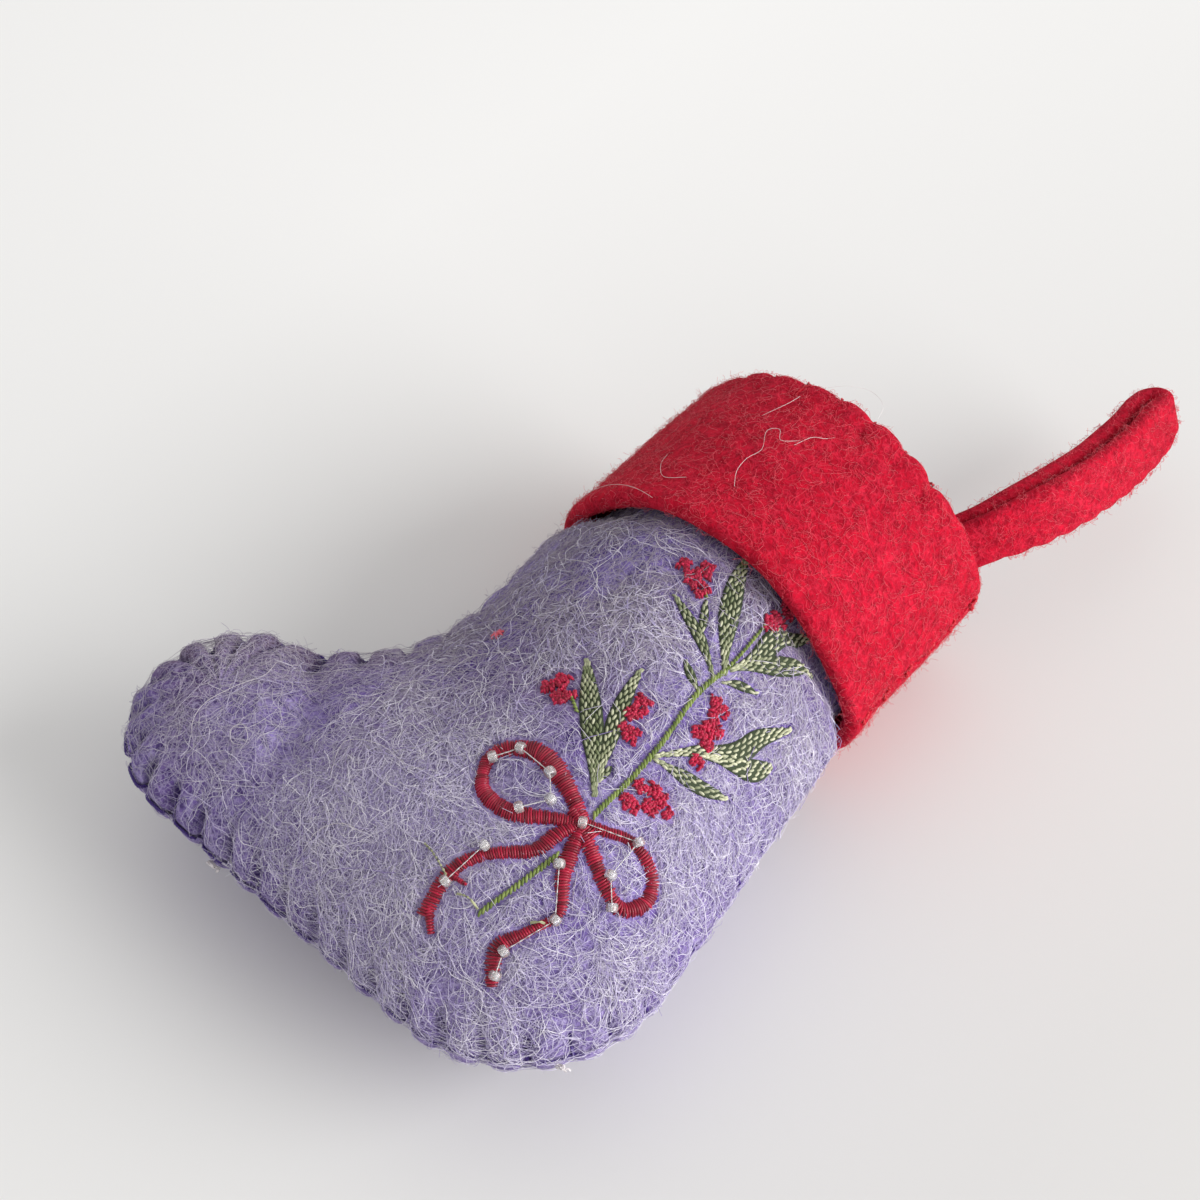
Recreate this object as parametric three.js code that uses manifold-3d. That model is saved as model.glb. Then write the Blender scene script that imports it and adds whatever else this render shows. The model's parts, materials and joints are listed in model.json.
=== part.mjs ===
// Stuffed felt stocking ornament, lying on its back. Millimetres, +Z up.
// +Y runs up the leg to the open mouth, the toe points to -X, and the embroidered front faces +Z.
import * as THREE from "three";
import { mergeVertices } from "three/addons/utils/BufferGeometryUtils.js";
import Module from "manifold-3d";

const wasm = await Module();
wasm.setup();

// Stocking pattern, measured on the seam plane.
const STOCKING_HEIGHT = 113; // sole to rim
const LEG_WIDTH = 57; // between the seam edges just under the cuff
const SEAT_WIDTH = 49; // between the seam edges inside the cuff, which squeezes the leg
const SHOULDER_HEIGHT = 5; // over which the leg is drawn in to the cuff
const FOOT_LENGTH = 94; // toe tip to the back of the heel
const HEEL_RADIUS = 23.5;
const HEEL_SWELL = 7; // how far the heel stands out behind the leg
const TOE_RADIUS = 19;
const TOE_SPRING = 2.5; // how far the toe lifts off the line of the sole
const INSTEP_RADIUS = 16;
const STRAP_ROOM = 7.6; // the back edge is drawn in this far at the rim, beside the loop's tails
const STRAP_ROOM_HEIGHT = 12; // height of that part
const RIM_SINK = 2; // leg and cuff are this much flatter at the rim, in front and behind

// Stuffed form: height of the front and depth of the back, measured from the seam plane.
const LEG_RISE = 23;
const ANKLE_RISE = 20;
const HEEL_RISE = 16;
const TOE_RISE = 11.5;
const LEG_DEPTH = 16.6;
const ANKLE_DEPTH = 21.5;
const HEEL_DEPTH = 17;
const TOE_DEPTH = 11;
const REST_DEPTH = 20; // the back is pressed flat at this depth
const CROWN_POWER = 1.24; // above 1 the crown falls to a drawn-in edge, 1 would be an ellipse
const POCKET_DEPTH = 27; // rim to the top of the stuffing

// Felt and thread.
const FELT = 2.8;
const EDGE_FELT = 1.7; // one panel's thickness where the stitches squeeze it
const SEAM_WIDTH = 2.5; // flat margin outside the crown
const SEAM_GAP = 0.3; // between the two panels
const CLEARANCE = 0.4; // between pieces that lie against each other
const THREAD_RADIUS = 0.45;
const STITCH_PITCH = 5.2;
const STITCH_BITE = 3.3; // how far a stitch reaches in from the edge

// Cuff.
const CUFF_HEIGHT = 36.5;
const CUFF_FELT = 3;
const CUFF_GAP = 0.9; // between the leg and the cuff
const HEM_FLARE = 1.2; // how far the hem stands off the leg in front and behind
const HEM_SIDE_FLARE = 0.4; // and at its two sides
const HEM_FLARE_HEIGHT = 14;
const CUFF_SLIT = 0.5; // between the band's two ends at the heel side
const RIM_STITCHES = 9; // on each half of the rim
const CUFF_SEAM_STITCHES = 6;
const CUFF_STITCH_BITE = 4;
const RIM_FRONT_TURN = [52, 158]; // stitched part of the rim, degrees from the heel side over the front
const RIM_BACK_TURN = [-158, -40]; // and round the back
const SEAM_STITCH_TURN = 16; // half the turn that a stitch over the slit spans
const TACK_TURN = [10, 34]; // part of the rim that the loop's tack stitch spans

// Hanging loop: a felt strap folded double.
const STRAP_FELT = 2.6;
const STRAP_WIDTH = 10;
const STRAP_LAYER_GAP = 0.2;
const LOOP_LENGTH = 48; // from the bend at the rim to the middle of the fold
const LOOP_FOLD_RADIUS = 4.1;
const LOOP_BOW = 10; // how far the loop bows outward
const LOOP_TIP_SWING = 5; // how far outward the fold ends up
const LOOP_DROOP = 6; // how far the fold hangs below the root
const LOOP_LEAN = THREE.MathUtils.degToRad(20); // tilt of the strap's width from upright
const LOOP_ROOT_X = 20.3; // middle of the doubled strap where it leaves the cuff
const LOOP_ROOT_Z = 2;
const LOOP_BEND_HEIGHT = 3.6; // the bend's centre above the rim
const TAIL_LENGTH = 11; // sewn length of the strap inside the cuff
const TACK_RADIUS = 0.3;
const TACK_BITE = 2;

// Embroidery. Places are on the front, across from the middle of the leg and up from the sole.
const SATIN_WIDTH = 2;
const SATIN_HEIGHT = 0.7;
const STEM_WIDTH = 1.1;
const LEAF_HEIGHT = 0.7;
const STITCH_LIFT = 0.4; // between the felt and the embroidery
const BERRY_RADIUS = 1.05;
const KNOT_FLATNESS = 0.5;
const BERRY_FLATNESS = 0.65;
const BEAD_RADIUS = 0.95;
const BEAD_BORE = 0.42;
const BEAD_LENGTH = 1.2;
const BEAD_THREAD_RADIUS = 0.12;

const KNOT = [15.8, 32];
const KNOT_RADIUS = 1.6;
const BOW_BANDS = {
  bow_loop_left: [
    [13.5, 33.4], [10, 35.1], [4.5, 36.4], [0, 34.5], [-1, 31.5], [1.6, 27.6], [7, 27.2], [13.3, 30.9],
  ],
  bow_loop_right: [
    [18.2, 33.4], [22, 35.5], [26.2, 34.6], [28, 31.2], [26.5, 27.6], [23, 28.2], [18.2, 30.9],
  ],
  bow_tail_left: [[14.4, 29.6], [13.5, 24.9], [8, 20.2], [5.8, 15.6], [6.4, 9.8]],
  bow_tail_right: [[17, 29.5], [18.5, 24.8], [21, 21.2], [19.3, 16.6], [17.3, 12.4], [19.4, 8.8]],
};
const STEMS = {
  stem_upper: [[15.9, 34.4], [15.9, 47.5], [15, 59.8], [15.3, 66], [14.6, 73]],
  stem_lower: [[16.1, 26.4], [14.6, 20.4], [12.7, 14.2]],
};
const LEAVES = [
  { width: 3, line: [[14.3, 36.8], [7.5, 44], [0, 52]] },
  { width: 2.4, line: [[14.5, 40.2], [11.2, 45], [8.6, 50], [7.4, 55.4]] },
  { width: 1.6, line: [[14, 58.4], [10.4, 60.8]] },
  { width: 1.8, line: [[14, 62.4], [10, 64.9], [4, 68.2]] },
  { width: 1.6, line: [[10.4, 66.9], [7.6, 70.6]] },
  { width: 2.8, line: [[14, 65.4], [11, 70.4], [7.6, 76.6]] },
  { width: 2.2, line: [[16.3, 68.2], [17, 73], [18, 77.4]] },
  { width: 2.4, line: [[16.7, 65.4], [19.2, 69.6], [20.8, 73.6]] },
  { width: 1.4, line: [[16.3, 62.6], [20.2, 65.4]] },
  { width: 2.4, line: [[17.1, 47.4], [18.8, 52], [21.6, 59], [23.6, 66.6]] },
  { width: 2.6, line: [[21.5, 53.6], [25, 57], [26.6, 61.8]] },
  { width: 2.4, line: [[17.4, 45.6], [21.6, 48.4], [25.8, 51.4]] },
];
const BERRIES = {
  berries_left: [[-0.9, 46.6], [0.4, 45.6], [-0.6, 44.9]],
  berries_stem: [[12, 50.6], [12.5, 49.1], [12.9, 47.5]],
  berries_top_left: [[3.2, 72.8], [4.4, 71.8], [3.4, 71.2]],
  berries_tip: [[13.8, 75.2], [14.6, 76.2]],
  berry_high: [[17.3, 60.2], [17.8, 59]],
  berry_middle: [[17.8, 56.5], [18, 55.4]],
  berry_low: [[22.5, 52.1], [23.1, 51.2]],
  berries_right: [[18.2, 39.6], [18, 41.2], [19.5, 41.5], [20.3, 42.9], [21.3, 41.9]],
};
const BEAD_STRINGS = [
  [[-0.3, 32.1], [2.1, 35.3], [7.9, 34.7], [10.6, 31.6], [7.9, 28.2]],
  [[15.8, 32], [22.4, 35.7], [22.8, 29.4], [25.4, 26.6]],
  [[17.1, 25.6], [21, 20], [18.2, 12.8], [19.1, 10]],
  [[7.6, 21.2], [6.4, 14.6]],
];

// Facet counts.
const CROWN_STEPS = 5; // from the edge of the crown to its ridge
const CUFF_STEPS = 14; // around each half of the cuff
const THREAD_SIDES = 3;
const BAND_STEP = 1.6; // length of a facet along an embroidered band

const vec2 = (x, y) => new THREE.Vector2(x, y);
const vec3 = (x, y, z) => new THREE.Vector3(x, y, z);
const mix = THREE.MathUtils.lerp;
const ease = THREE.MathUtils.smoothstep;
const crown = (angle) => Math.sin(angle) ** CROWN_POWER;

// Closed solid from loose triangles: shared corners are merged, empty triangles dropped, faces turned out.
function solidFromTriangles(positions) {
  const loose = new THREE.BufferGeometry();
  loose.setAttribute("position", new THREE.Float32BufferAttribute(positions, 3));
  const merged = mergeVertices(loose, 1e-4);
  const corners = merged.getAttribute("position");
  const point = (i) => new THREE.Vector3().fromBufferAttribute(corners, i);
  const faces = [];
  let volume = 0;
  for (let i = 0; i < merged.index.count; i += 3) {
    const [a, b, c] = [0, 1, 2].map((k) => merged.index.getX(i + k));
    if (a === b || b === c || c === a) continue;
    faces.push([a, b, c]);
    volume += point(a).dot(point(b).cross(point(c)));
  }
  const outward = volume > 0 ? faces : faces.map(([a, b, c]) => [a, c, b]);
  merged.setIndex(outward.flat());
  merged.computeVertexNormals();
  return merged;
}

// Triangles that close a flat loop, wound the same way as the loop.
function capTriangles(loop) {
  const normal = vec3(0, 0, 0);
  loop.forEach((p, i) => normal.add(p.clone().cross(loop[(i + 1) % loop.length])));
  normal.normalize();
  const across = vec3(0, 0, 1).cross(normal).lengthSq() > 0.01 ? vec3(0, 0, 1) : vec3(1, 0, 0);
  const u = across.cross(normal).normalize();
  const v = normal.clone().cross(u);
  const flat = loop.map((p) => vec2(p.dot(u), p.dot(v)));
  const triangles = THREE.ShapeUtils.triangulateShape(flat, []);
  return triangles.map((t) => (THREE.ShapeUtils.area(t.map((i) => flat[i])) > 0 ? t : [t[0], t[2], t[1]]));
}

// Skin over a row of loops with equal point counts. A ring joins its last loop to its first.
function skin(loops, { ring = false, capStart = true, capEnd = true } = {}) {
  const positions = [];
  const add = (...points) => points.forEach((p) => positions.push(p.x, p.y, p.z));
  const size = loops[0].length;
  const spans = ring ? loops.length : loops.length - 1;
  for (let i = 0; i < spans; i += 1) {
    const near = loops[i];
    const far = loops[(i + 1) % loops.length];
    for (let j = 0; j < size; j += 1) {
      const k = (j + 1) % size;
      add(near[j], near[k], far[k], near[j], far[k], far[j]);
    }
  }
  if (!ring && capStart) {
    const first = loops[0];
    capTriangles(first).forEach(([a, b, c]) => add(first[a], first[c], first[b]));
  }
  if (!ring && capEnd) {
    const last = loops[loops.length - 1];
    capTriangles(last).forEach(([a, b, c]) => add(last[a], last[b], last[c]));
  }
  return solidFromTriangles(positions);
}

// Thread or cord of round section along a row of points.
function thread(points, radius, { ring = false } = {}) {
  const count = points.length;
  const at = (i) => points[ring ? (i + count) % count : THREE.MathUtils.clamp(i, 0, count - 1)];
  let side = null;
  const loops = points.map((p, i) => {
    const along = at(i + 1).clone().sub(at(i - 1)).normalize();
    const start = Math.abs(along.z) < 0.9 ? vec3(0, 0, 1) : vec3(1, 0, 0);
    side = (side ?? start).clone().addScaledVector(along, -along.dot(side ?? start)).normalize();
    const other = along.clone().cross(side);
    return Array.from({ length: THREAD_SIDES }, (_, k) => {
      const turn = (2 * Math.PI * k) / THREAD_SIDES;
      const corner = p.clone().addScaledVector(side, radius * Math.cos(turn));
      return corner.addScaledVector(other, radius * Math.sin(turn));
    });
  });
  return skin(loops, { ring });
}

function toManifold(geometry) {
  const mesh = new wasm.Mesh({
    numProp: 3,
    vertProperties: Float32Array.from(geometry.getAttribute("position").array),
    triVerts: Uint32Array.from(geometry.index.array),
  });
  return new wasm.Manifold(mesh);
}

// One body out of pieces that overlap.
function join(geometries) {
  const whole = geometries.map(toManifold).reduce((sum, piece) => sum.add(piece)).getMesh();
  const geometry = new THREE.BufferGeometry();
  geometry.setAttribute("position", new THREE.Float32BufferAttribute(whole.vertProperties, 3));
  geometry.setIndex(Array.from(whole.triVerts));
  geometry.computeVertexNormals();
  return geometry;
}

function part(name, geometry, color, roughness) {
  const mesh = new THREE.Mesh(geometry, new THREE.MeshStandardMaterial({ color, roughness, metalness: 0 }));
  mesh.name = name;
  return mesh;
}

// Pattern outline: straight leg edges, a hollow instep, round toe and heel, and the sole that touches both.
const heelBack = LEG_WIDTH / 2 + HEEL_SWELL;
const heelCentre = vec2(heelBack - HEEL_RADIUS, HEEL_RADIUS);
const toeCentre = vec2(heelBack - FOOT_LENGTH + TOE_RADIUS, TOE_RADIUS + TOE_SPRING);
const hemHeight = STOCKING_HEIGHT - CUFF_HEIGHT;
const seatHeight = hemHeight - 1; // inside the cuff the leg's edges run straight

function instepCircleCentre() {
  const x = -LEG_WIDTH / 2 - INSTEP_RADIUS;
  const reach = INSTEP_RADIUS + TOE_RADIUS;
  return vec2(x, toeCentre.y + Math.sqrt(reach ** 2 - (x - toeCentre.x) ** 2));
}

const instepCentre = instepCircleCentre();
const soleRun = toeCentre.clone().sub(heelCentre);
const soleAngle = soleRun.angle() + Math.acos((HEEL_RADIUS - TOE_RADIUS) / soleRun.length());
const shoulderHeight = seatHeight - SHOULDER_HEIGHT;
const heelStart = vec2(LEG_WIDTH / 2, shoulderHeight);
const heelView = heelStart.clone().sub(heelCentre);
const heelAngle = heelView.angle() - Math.acos(HEEL_RADIUS / heelView.length());
const toeAngle = instepCentre.clone().sub(toeCentre).angle();
const onCircle = (centre, radius, angle) =>
  vec2(centre.x + radius * Math.cos(angle), centre.y + radius * Math.sin(angle));
const arc = (centre, radius, from, to, clockwise) =>
  new THREE.EllipseCurve(centre.x, centre.y, radius, radius, from, to, clockwise);

// Soft step from the leg's width to the width inside the cuff.
function shoulder(from, to) {
  const middle = (from.y + to.y) / 2;
  return new THREE.CubicBezierCurve(from, vec2(from.x, middle), vec2(to.x, middle), to);
}

const edges = {
  frontShoulder: shoulder(vec2(-SEAT_WIDTH / 2, seatHeight), vec2(-LEG_WIDTH / 2, shoulderHeight)),
  legFront: new THREE.LineCurve(
    vec2(-LEG_WIDTH / 2, shoulderHeight),
    vec2(-LEG_WIDTH / 2, instepCentre.y),
  ),
  instep: arc(instepCentre, INSTEP_RADIUS, 0, toeAngle + Math.PI, true),
  toeTop: arc(toeCentre, TOE_RADIUS, toeAngle, Math.PI, false),
  toeUnder: arc(toeCentre, TOE_RADIUS, Math.PI, soleAngle, false),
  sole: new THREE.LineCurve(
    onCircle(toeCentre, TOE_RADIUS, soleAngle),
    onCircle(heelCentre, HEEL_RADIUS, soleAngle),
  ),
  heel: arc(heelCentre, HEEL_RADIUS, soleAngle, heelAngle, false),
  legBack: new THREE.LineCurve(onCircle(heelCentre, HEEL_RADIUS, heelAngle), heelStart),
  backShoulder: shoulder(heelStart, vec2(SEAT_WIDTH / 2, seatHeight)),
};

// Rungs run across the stocking from its front edge to its back edge, from the leg round to the toe.
const INSTEP_SPLIT = 0.45; // share of the instep that faces the heel, the rest faces the sole
const spans = [
  { front: edges.frontShoulder, frontRun: [0, 1], back: edges.backShoulder, backRun: [1, 0], steps: 3 },
  { front: edges.legFront, frontRun: [0, 1], back: edges.legBack, backRun: [1, 0], steps: 3 },
  { front: edges.instep, frontRun: [0, INSTEP_SPLIT], back: edges.heel, backRun: [1, 0], steps: 8 },
  { front: edges.instep, frontRun: [INSTEP_SPLIT, 1], back: edges.sole, backRun: [1, 0], steps: 6 },
  { front: edges.toeTop, frontRun: [0, 1], back: edges.toeUnder, backRun: [1, 0], steps: 7 },
];
const heights = (values) => new THREE.SplineCurve(values.map((value, i) => vec2(i, value)));
const riseAlong = heights([LEG_RISE, LEG_RISE, ANKLE_RISE, HEEL_RISE, TOE_RISE]);
const depthAlong = heights([LEG_DEPTH, LEG_DEPTH, ANKLE_DEPTH, HEEL_DEPTH, TOE_DEPTH]);
const toeSpan = spans.length - 1;

const rimSink = (y) => RIM_SINK * ease(y, seatHeight + STRAP_ROOM_HEIGHT, STOCKING_HEIGHT);

function makeRungs(topHeight, topSteps) {
  const rungs = [];
  for (let i = 0; i < topSteps; i += 1) {
    const y = mix(topHeight, seatHeight, i / topSteps);
    const drawnIn = ease(y, seatHeight + STRAP_ROOM_HEIGHT, STOCKING_HEIGHT - STRAP_ROOM_HEIGHT);
    rungs.push({
      front: vec2(-SEAT_WIDTH / 2, y),
      back: vec2(SEAT_WIDTH / 2 - STRAP_ROOM * drawnIn, y),
      ridge: vec2(0, y),
      rise: LEG_RISE - rimSink(y),
      depth: LEG_DEPTH - rimSink(y),
    });
  }
  spans.forEach((span, index) => {
    for (let i = index === 0 ? 0 : 1; i <= span.steps; i += 1) {
      const t = i / span.steps;
      const along = Math.min(index + t, toeSpan) / toeSpan;
      rungs.push({
        front: span.front.getPoint(mix(...span.frontRun, t)),
        back: span.back.getPoint(mix(...span.backRun, t)),
        rise: riseAlong.getPoint(along).y,
        depth: depthAlong.getPoint(along).y,
        toe: index === toeSpan,
      });
    }
  });
  const toeHub = rungs.filter((rung) => !rung.toe).pop();
  const hub = toeHub.front.clone().lerp(toeHub.back, 0.5);
  rungs.forEach((rung, i) => {
    rung.ridge ??= rung.toe ? hub : rung.front.clone().lerp(rung.back, 0.5);
    const before = rungs[Math.max(i - 1, 0)];
    const after = rungs[Math.min(i + 1, rungs.length - 1)];
    rung.slants = ["front", "back"].map((end) => {
      const edge = after[end].clone().sub(before[end]).normalize();
      const inward = rung.ridge.clone().sub(rung[end]).normalize();
      return after === rung ? 1 : Math.max(Math.abs(edge.cross(inward)), 0.6);
    });
  });
  return rungs;
}

// Half a crown from one edge of a rung to its ridge, set in from the edge.
function halfCrown(rung, end, inset, base, height, limit) {
  const edge = rung[end];
  const slant = rung.slants[end === "front" ? 0 : 1];
  const inward = rung.ridge.clone().sub(edge).normalize();
  const start = edge.clone().addScaledVector(inward, inset / slant);
  return Array.from({ length: CROWN_STEPS }, (_, step) => {
    const angle = (Math.PI / 2) * (step / CROWN_STEPS);
    const place = rung.ridge.clone().lerp(start, Math.cos(angle));
    return vec3(place.x, place.y, Math.min(mix(base, height, crown(angle)), limit));
  });
}

function fullCrown(rung, inset, base, height, limit) {
  const top = vec3(rung.ridge.x, rung.ridge.y, Math.min(height, limit));
  const front = halfCrown(rung, "front", inset, base, height, limit);
  const back = halfCrown(rung, "back", inset, base, height, limit);
  return [...front, top, ...back.reverse()];
}

// One felt panel: a crowned shell with a flat seam margin, mirrored for the back.
function feltPanel(rungs, side) {
  const up = side === "front" ? 1 : -1;
  const limit = side === "front" ? Infinity : REST_DEPTH;
  const floor = SEAM_GAP / 2;
  const loops = rungs.map((rung) => {
    const height = side === "front" ? rung.rise : rung.depth;
    const outer = fullCrown(rung, SEAM_WIDTH, EDGE_FELT, height, limit);
    const inner = fullCrown(rung, SEAM_WIDTH + FELT, floor, height - FELT, limit - FELT);
    const frontEdge = [floor, EDGE_FELT].map((z) => vec3(rung.front.x, rung.front.y, z));
    const backEdge = [EDGE_FELT, floor].map((z) => vec3(rung.back.x, rung.back.y, z));
    return [...frontEdge, ...outer, ...backEdge, ...inner.reverse()];
  });
  loops.flat().forEach((p) => {
    p.z *= up;
  });
  return skin(loops, { capEnd: false });
}

// Fibre filling, a little smaller than the space between the panels.
function stuffing() {
  const rungs = makeRungs(STOCKING_HEIGHT - POCKET_DEPTH, 2);
  const inset = SEAM_WIDTH + FELT + CLEARANCE;
  const cover = FELT + CLEARANCE;
  const loops = rungs.map((rung) => {
    const top = fullCrown(rung, inset, 0, rung.rise - cover, Infinity);
    const under = fullCrown(rung, inset, 0, rung.depth - cover, REST_DEPTH - cover);
    under.forEach((p) => {
      p.z = -p.z;
    });
    return [...top, ...under.slice(1, -1).reverse()];
  });
  return skin(loops, { capEnd: false });
}

const panelRungs = makeRungs(STOCKING_HEIGHT, 6);
const lavender = "#9a8bc2";
const red = "#c0182c";
const frontPanel = part("front_panel", feltPanel(panelRungs, "front"), lavender, 0.95);
const backPanel = part("back_panel", feltPanel(panelRungs, "back"), lavender, 0.95);

// Where a look straight down, or straight up, first meets one of the meshes.
const eye = new THREE.Raycaster();
const EYE_DISTANCE = 200;
function look(meshes, x, y, down = true) {
  eye.set(vec3(x, y, down ? EYE_DISTANCE : -EYE_DISTANCE), vec3(0, 0, down ? -1 : 1));
  return eye.intersectObjects(meshes, false)[0];
}

const surfaceHeight = (meshes, x, y) => look(meshes, x, y).point.z;

// Row of stitches: bites laid over an edge, joined by a thread that runs along it.
function stitchRow(run, bites, { ring = false } = {}) {
  return join([thread(run, THREAD_RADIUS, { ring }), ...bites.map((bite) => thread(bite, THREAD_RADIUS))]);
}

const threadOff = CLEARANCE + THREAD_RADIUS; // from a face to the middle of the thread on it

// Blanket stitch round the stocking from the hem at the front to the hem at the back.
function edgeStitching() {
  const outline = new THREE.CurvePath();
  Object.values(edges).forEach((edge) => outline.add(edge));
  const count = Math.round(outline.getLength() / STITCH_PITCH);
  const at = (t) => {
    const step = 0.002;
    const ahead = outline.getPoint(Math.min(t + step, 1));
    const along = ahead.sub(outline.getPoint(Math.max(t - step, 0))).normalize();
    return { edge: outline.getPoint(t), out: vec2(along.y, -along.x) };
  };
  const place = ({ edge, out }, off, z) => vec3(edge.x + out.x * off, edge.y + out.y * off, z);
  const onFelt = (station, off, panel) => {
    const p = place(station, off, 0);
    const hit = look([panel], p.x, p.y, panel === frontPanel);
    return hit.point.addScaledVector(hit.face.normal, threadOff);
  };
  const reach = [-STITCH_BITE, -SEAM_WIDTH / 2];
  const corner = [THREAD_RADIUS, EDGE_FELT + threadOff];
  const beyond = threadOff + THREAD_RADIUS; // the run stands off the edge, clear of the felt's corners
  const bites = Array.from({ length: count }, (_, i) => {
    const station = at((i + 0.5) / count);
    const front = reach.map((off) => onFelt(station, off, frontPanel));
    const back = reach.map((off) => onFelt(station, off, backPanel)).reverse();
    const [off, z] = corner;
    return [...front, place(station, off, z), place(station, beyond, 0), place(station, off, -z), ...back];
  });
  const runSteps = 2 * count;
  const run = Array.from({ length: runSteps + 1 }, (_, i) => place(at(i / runSteps), beyond, 0));
  return stitchRow(run, bites);
}

// Cuff section at one height: half width, front rise and back depth of the felt's inner or outer face.
function cuffFace(y, outward) {
  const flare = 1 - ease(y, hemHeight, hemHeight + HEM_FLARE_HEIGHT);
  const off = CUFF_GAP + outward;
  return {
    width: SEAT_WIDTH / 2 + off + HEM_SIDE_FLARE * flare,
    rise: LEG_RISE + off + HEM_FLARE * flare - rimSink(y),
    depth: LEG_DEPTH + off + HEM_FLARE * flare - rimSink(y),
  };
}

function cuffArc(y, outward, half) {
  const face = cuffFace(y, outward);
  const height = half === "front" ? face.rise : face.depth;
  const first = Math.asin((CUFF_SLIT / 2 / height) ** (1 / CROWN_POWER));
  const limit = half === "front" ? Infinity : REST_DEPTH - CUFF_FELT + outward;
  return Array.from({ length: CUFF_STEPS + 1 }, (_, i) => {
    const angle = mix(first, Math.PI, i / CUFF_STEPS);
    const z = i === CUFF_STEPS ? 0 : Math.min(height * crown(angle), limit);
    return vec3(face.width * Math.cos(angle), y, half === "front" ? z : -z);
  });
}

function cuff() {
  const stations = [0, 0.12, 0.3, 0.6, 1].map((t) => mix(hemHeight, STOCKING_HEIGHT, t));
  const loops = stations.map((y) => {
    const outer = [...cuffArc(y, CUFF_FELT, "front"), ...cuffArc(y, CUFF_FELT, "back").reverse().slice(1)];
    const inner = [...cuffArc(y, 0, "front"), ...cuffArc(y, 0, "back").reverse().slice(1)];
    return [...outer, ...inner.reverse()];
  });
  return skin(loops);
}

// Point off the cuff's face at one height, angle 0 at the heel side and turning over the front.
function cuffPoint(y, outward, angle) {
  const face = cuffFace(y, outward);
  const lift = Math.sign(Math.sin(angle)) * crown(Math.abs(angle));
  return vec3(face.width * Math.cos(angle), y, lift * (angle > 0 ? face.rise : face.depth));
}

// Evenly spaced turns round the cuff, in radians.
function turns([from, to], count) {
  const at = (i) => THREE.MathUtils.degToRad(mix(from, to, i / (count - 1)));
  return Array.from({ length: count }, (_, i) => at(i));
}

// Stitches over the rim from the cuff's outside to the panels' inside, with a thread along the rim.
function rimStitching() {
  const mouth = panelRungs[0];
  const crest = STOCKING_HEIGHT + threadOff + THREAD_RADIUS;
  const low = STOCKING_HEIGHT - CUFF_STITCH_BITE;
  const insideWall = (angle, y) => {
    const edge = Math.cos(angle) > 0 ? mouth.back.x : mouth.front.x;
    const reach = Math.abs(edge) - SEAM_WIDTH - FELT - threadOff;
    const height = (angle > 0 ? mouth.rise : mouth.depth) - FELT - threadOff;
    return vec3(reach * Math.cos(angle), y, Math.sign(angle) * height * crown(Math.abs(angle)));
  };
  const biteAt = (angle) => [
    cuffPoint(low, CUFF_FELT + threadOff, angle),
    cuffPoint(STOCKING_HEIGHT + THREAD_RADIUS, CUFF_FELT + threadOff, angle),
    cuffPoint(crest, CUFF_FELT / 2, angle),
    insideWall(angle, STOCKING_HEIGHT + THREAD_RADIUS),
    insideWall(angle, low),
  ];
  const angles = [...turns(RIM_FRONT_TURN, RIM_STITCHES), ...turns(RIM_BACK_TURN, RIM_STITCHES)];
  const runSteps = 48;
  const run = Array.from({ length: runSteps }, (_, i) => {
    const angle = (2 * Math.PI * (i + 0.5)) / runSteps - Math.PI;
    return cuffPoint(crest, CUFF_FELT / 2, angle);
  });
  return stitchRow(run, angles.map(biteAt), { ring: true });
}

// Stitches across the slit where the cuff's two ends meet.
function cuffSeamStitching() {
  const off = CUFF_FELT + threadOff;
  const margin = 4;
  const heightAt = (t) => mix(hemHeight + margin, STOCKING_HEIGHT - margin, t);
  const over = turns([SEAM_STITCH_TURN, -SEAM_STITCH_TURN], 5);
  const bites = Array.from({ length: CUFF_SEAM_STITCHES }, (_, i) => {
    const y = heightAt(i / (CUFF_SEAM_STITCHES - 1));
    return over.map((angle) => cuffPoint(y, off, angle));
  });
  const run = Array.from({ length: 2 * CUFF_SEAM_STITCHES }, (_, i) =>
    cuffPoint(heightAt(i / (2 * CUFF_SEAM_STITCHES - 1)), off, 0),
  );
  return stitchRow(run, bites);
}

// Frame of the hanging loop: its bend sits just above the rim, between the leg and the cuff.
const loopOut = vec3(Math.cos(LOOP_LEAN), 0, Math.sin(LOOP_LEAN));
const loopWide = vec3(-Math.sin(LOOP_LEAN), 0, Math.cos(LOOP_LEAN));
const strapStack = 2 * STRAP_FELT + STRAP_LAYER_GAP;
const loopBend = vec3(LOOP_ROOT_X, STOCKING_HEIGHT + LOOP_BEND_HEIGHT, LOOP_ROOT_Z);

// Point of the loop's frame: out from the leg's middle, up past the rim, and across the strap.
function loopPoint(out, up, across) {
  return loopBend.clone().addScaledVector(loopOut, out).addScaledVector(loopWide, across).add(vec3(0, up, 0));
}

function strapSolid(line) {
  const loops = line.map(({ place, side }) => {
    const droop = -LOOP_DROOP * ease(place.y, 0, LOOP_LENGTH);
    const corner = (t, w) => loopPoint(place.x + side.x * t, place.y + side.y * t, w + droop);
    const t = STRAP_FELT / 2;
    const w = STRAP_WIDTH / 2;
    return [corner(t, w), corner(t, -w), corner(-t, -w), corner(-t, w)];
  });
  return skin(loops);
}

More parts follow.
